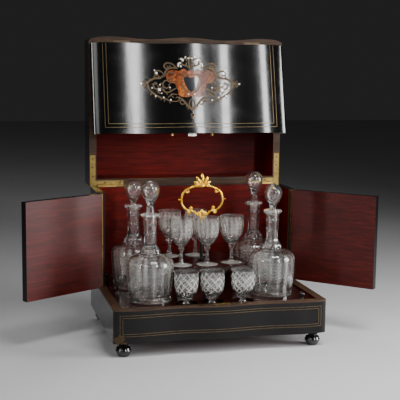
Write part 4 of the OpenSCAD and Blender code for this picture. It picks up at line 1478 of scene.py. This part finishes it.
@dataclass
class Lid:
    """The deep lid that stands open, and the serpentine panel folded down before it."""

    wall: float = 8.0
    recess: float = 6.0
    top: float = 225.0

    def frame_face(self, normal: Vector, place: Vector) -> int:
        """Lacquer outside, lining in the recess, walnut on the rim that faces forward."""
        if normal.y < -FACING:
            return 2
        over = place.z - PLACE.hinge_z
        inside = abs(place.x) < PLACE.side_x - self.wall and over > self.recess
        return int(inside and not (normal.z > LEVEL and over > self.top))

    def build(self) -> None:
        """Builds the lid and the panel."""
        for board in (
            Joinery(
                "lid_frame", "lid", (LACQUER, INNER, RIM, RIM), bevel=0.4, pick=self.frame_face
            ),
            Joinery("lid_top", "lid", (LACQUER, INNER, WORN), pick=facing((0, -1, 0))),
            Joinery("front_panel", "panel", (PANEL_BLACK, INNER, WORN), pick=facing((0, 1, 0))),
        ):
            board.build()
        Cartouche().build()


@dataclass
class Doors:
    """The two side doors, lacquered outside and red inside, as far open as photographed."""

    left_open: float = 58.3
    right_open: float = 45.2

    def build(self) -> None:
        """Builds both doors."""
        for side, name, angle in ((-1, "left", self.left_open), (1, "right", self.right_open)):
            a = math.radians(angle)
            inward = facing((-side * math.cos(a), -math.sin(a), 0.0))
            finishes = (LACQUER, DOOR, WORN)
            Joinery("door_" + name, name + "_door", finishes, Slot.MAHOGANY, pick=inward).build()


@dataclass
class Rack:
    """The lift-out rack with its boards and handle."""

    edge: float = 0.4

    def build(self) -> None:
        """Builds the rack."""
        Joinery("rack_board", "rack", (RACK_BLACK, RACK_BLACK), Slot.MAHOGANY).build()
        for node in ("rack_tray", "rack_shelf"):
            Joinery(node, "rack", (TRAY, RACK_BLACK), bevel=self.edge).build()
        GiltHandle().build()


@dataclass
class Glassware:
    """Every decanter, with how far its stopper stands out, and every glass in its place."""

    rises: tuple[tuple[str, float], ...] = (
        ("front_left", 10.0), ("front_right", 0.0), ("rear_left", 0.0), ("rear_right", 10.0),
    )
    on_shelf: int = 5
    in_tray: int = 3

    def build(self) -> None:
        """Builds the glassware."""
        for name, rise in self.rises:
            Decanter(name, PLACE.foot("decanter_" + name), rise).build()
        for where, count in (("shelf", self.on_shelf), ("tray", self.in_tray)):
            for i in range(1, count + 1):
                names = f"{where}_goblet_{i}", f"{where}_glass_{i}", f"glass_{where}_{i}"
                CordialGlass(*names, crossed=where == "tray").build()


@dataclass(frozen=True)
class Softbox:
    """One soft rectangular light, in metres, watts and degrees."""

    name: str
    at: Point3
    aim: Point3
    size: Point
    power: float
    spread: float

    def hang(self) -> None:
        """Hangs the light and points it at its aim."""
        light = bpy.data.lights.new(self.name, "AREA")
        light.shape = "RECTANGLE"
        light.size, light.size_y = self.size
        light.energy = self.power
        light.spread = math.radians(self.spread)
        made = bpy.data.objects.new(self.name, light)
        made.location = self.at
        way = Vector(self.aim) - Vector(self.at)
        made.rotation_euler = way.to_track_quat("-Z", "Y").to_euler()
        bpy.context.scene.collection.objects.link(made)


MIDDLE: Point3 = (0.0, 0.0, 0.2)
SOFTBOXES = (
    Softbox("strip", (0.84, -2.03, 1.15), (0.0, 0.0, 0.35), (0.20, 1.4), power=3.0, spread=60),
    Softbox("key", (-1.25, -1.7, 1.55), MIDDLE, (0.9, 0.9), power=3.0, spread=110),
    Softbox("right", (1.55, -0.68, 0.52), (0.0, -0.1, 0.15), (0.55, 0.95), power=15, spread=110),
    Softbox("left", (-1.5, -0.75, 0.75), MIDDLE, (0.13, 1.2), power=3.4, spread=110),
    Softbox("pool", (0.3, -0.75, 1.7), (0.27, -0.5, 0.0), (0.8, 0.4), power=4.4, spread=56),
    Softbox("back", (0.0, 1.1, 1.9), (0.0, 0.1, 0.4), (1.4, 0.5), power=1.5, spread=70),
)


@dataclass
class Studio:
    """The pale floor, the room's dim light, the softboxes and the camera."""

    camera_at: Point3 = (-0.3704, -1.5208, 0.4252)
    yaw: float = 14.1
    pitch: float = 7.8
    roll: float = 0.6
    lens: float = 87.7
    sensor: float = 36.0
    floor_half: float = 6.0
    dim: float = 0.018

    def floor(self) -> None:
        """Lays a wide floor under the feet."""
        half = self.floor_half
        mesh = bpy.data.meshes.new("floor")
        corners = [(-half, -half, 0), (half, -half, 0), (half, half, 0), (-half, half, 0)]
        mesh.from_pydata(corners, [], [(0, 1, 2, 3)])
        mesh.materials.append(material_of(Plaster("studio_floor")))
        made = bpy.data.objects.new("floor", mesh)
        bpy.context.scene.collection.objects.link(made)

    def world(self) -> None:
        """Fills the room with an even dim light, a trace bluer than grey."""
        world = bpy.data.worlds.new("room")
        world.use_nodes = True
        tone = (self.dim, self.dim, self.dim * 1.02, 1.0)
        world.node_tree.nodes["Background"].inputs[0].default_value = tone
        bpy.context.scene.world = world

    def camera(self) -> None:
        """Sets the camera where the photographer stood."""
        a, b, c = (math.radians(v) for v in (self.yaw, self.pitch, self.roll))
        ahead = Vector((math.sin(a) * math.cos(b), math.cos(a) * math.cos(b), -math.sin(b)))
        right = Vector((math.cos(a), -math.sin(a), 0.0))
        up = right.cross(ahead)
        side = right * math.cos(c) + up * math.sin(c)
        top = up * math.cos(c) - right * math.sin(c)
        data = bpy.data.cameras.new("camera")
        data.sensor_width = self.sensor
        data.lens = self.lens
        made = bpy.data.objects.new("camera", data)
        turned = Matrix((side, top, -ahead)).transposed().to_4x4()
        made.matrix_world = Matrix.Translation(self.camera_at) @ turned
        bpy.context.scene.collection.objects.link(made)
        bpy.context.scene.camera = made

    def build(self) -> None:
        """Sets up the studio."""
        self.floor()
        self.camera()
        self.world()
        for softbox in SOFTBOXES:
            softbox.hang()


PLAIN_NODES: tuple[tuple[Finish, tuple[str, ...]], ...] = (
    (BRASS, (
        "door_hinge_case_leaves", "door_hinge_pins", "striker_plate", "lid_hinge_case_leaves",
        "lid_hinge_pins", "lid_corner_leaves", "locating_dowels", "door_left_leaf",
        "door_right_leaf",
    )),
    (STEEL, ("lock_bolt", "lock_case")),
    (IRON, (
        "case_screws", "lid_screws", "keyhole_escutcheon", "panel_hinge_lid_leaves",
        "panel_hinge_pins", "panel_hinge_leaves",
    )),
    (POLISHED, ("rack_posts", "rack_columns", "tray_finials")),
)


def dress_plain(frame: dict[str, Any]) -> None:
    """Gives the carried-over CAD nodes their finishes."""
    for finish, nodes in PLAIN_NODES:
        for node in nodes:
            for slot in frame["nodes"][node].material_slots:
                slot.material = material_of(finish)
            LOG.info("%s keeps its CAD shape in %s", node, finish.name)


def main(frame: dict[str, Any]) -> None:
    """Builds the scene.

    Args:
        frame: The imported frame.
    """
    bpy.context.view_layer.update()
    PLACE.measure()
    dress_plain(frame)
    for part in (Case(), Lid(), Doors(), Rack(), Glassware(), Studio()):
        part.build()


if __name__ == "__main__":
    logging.basicConfig(level=logging.INFO, format="%(message)s")
    main(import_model())
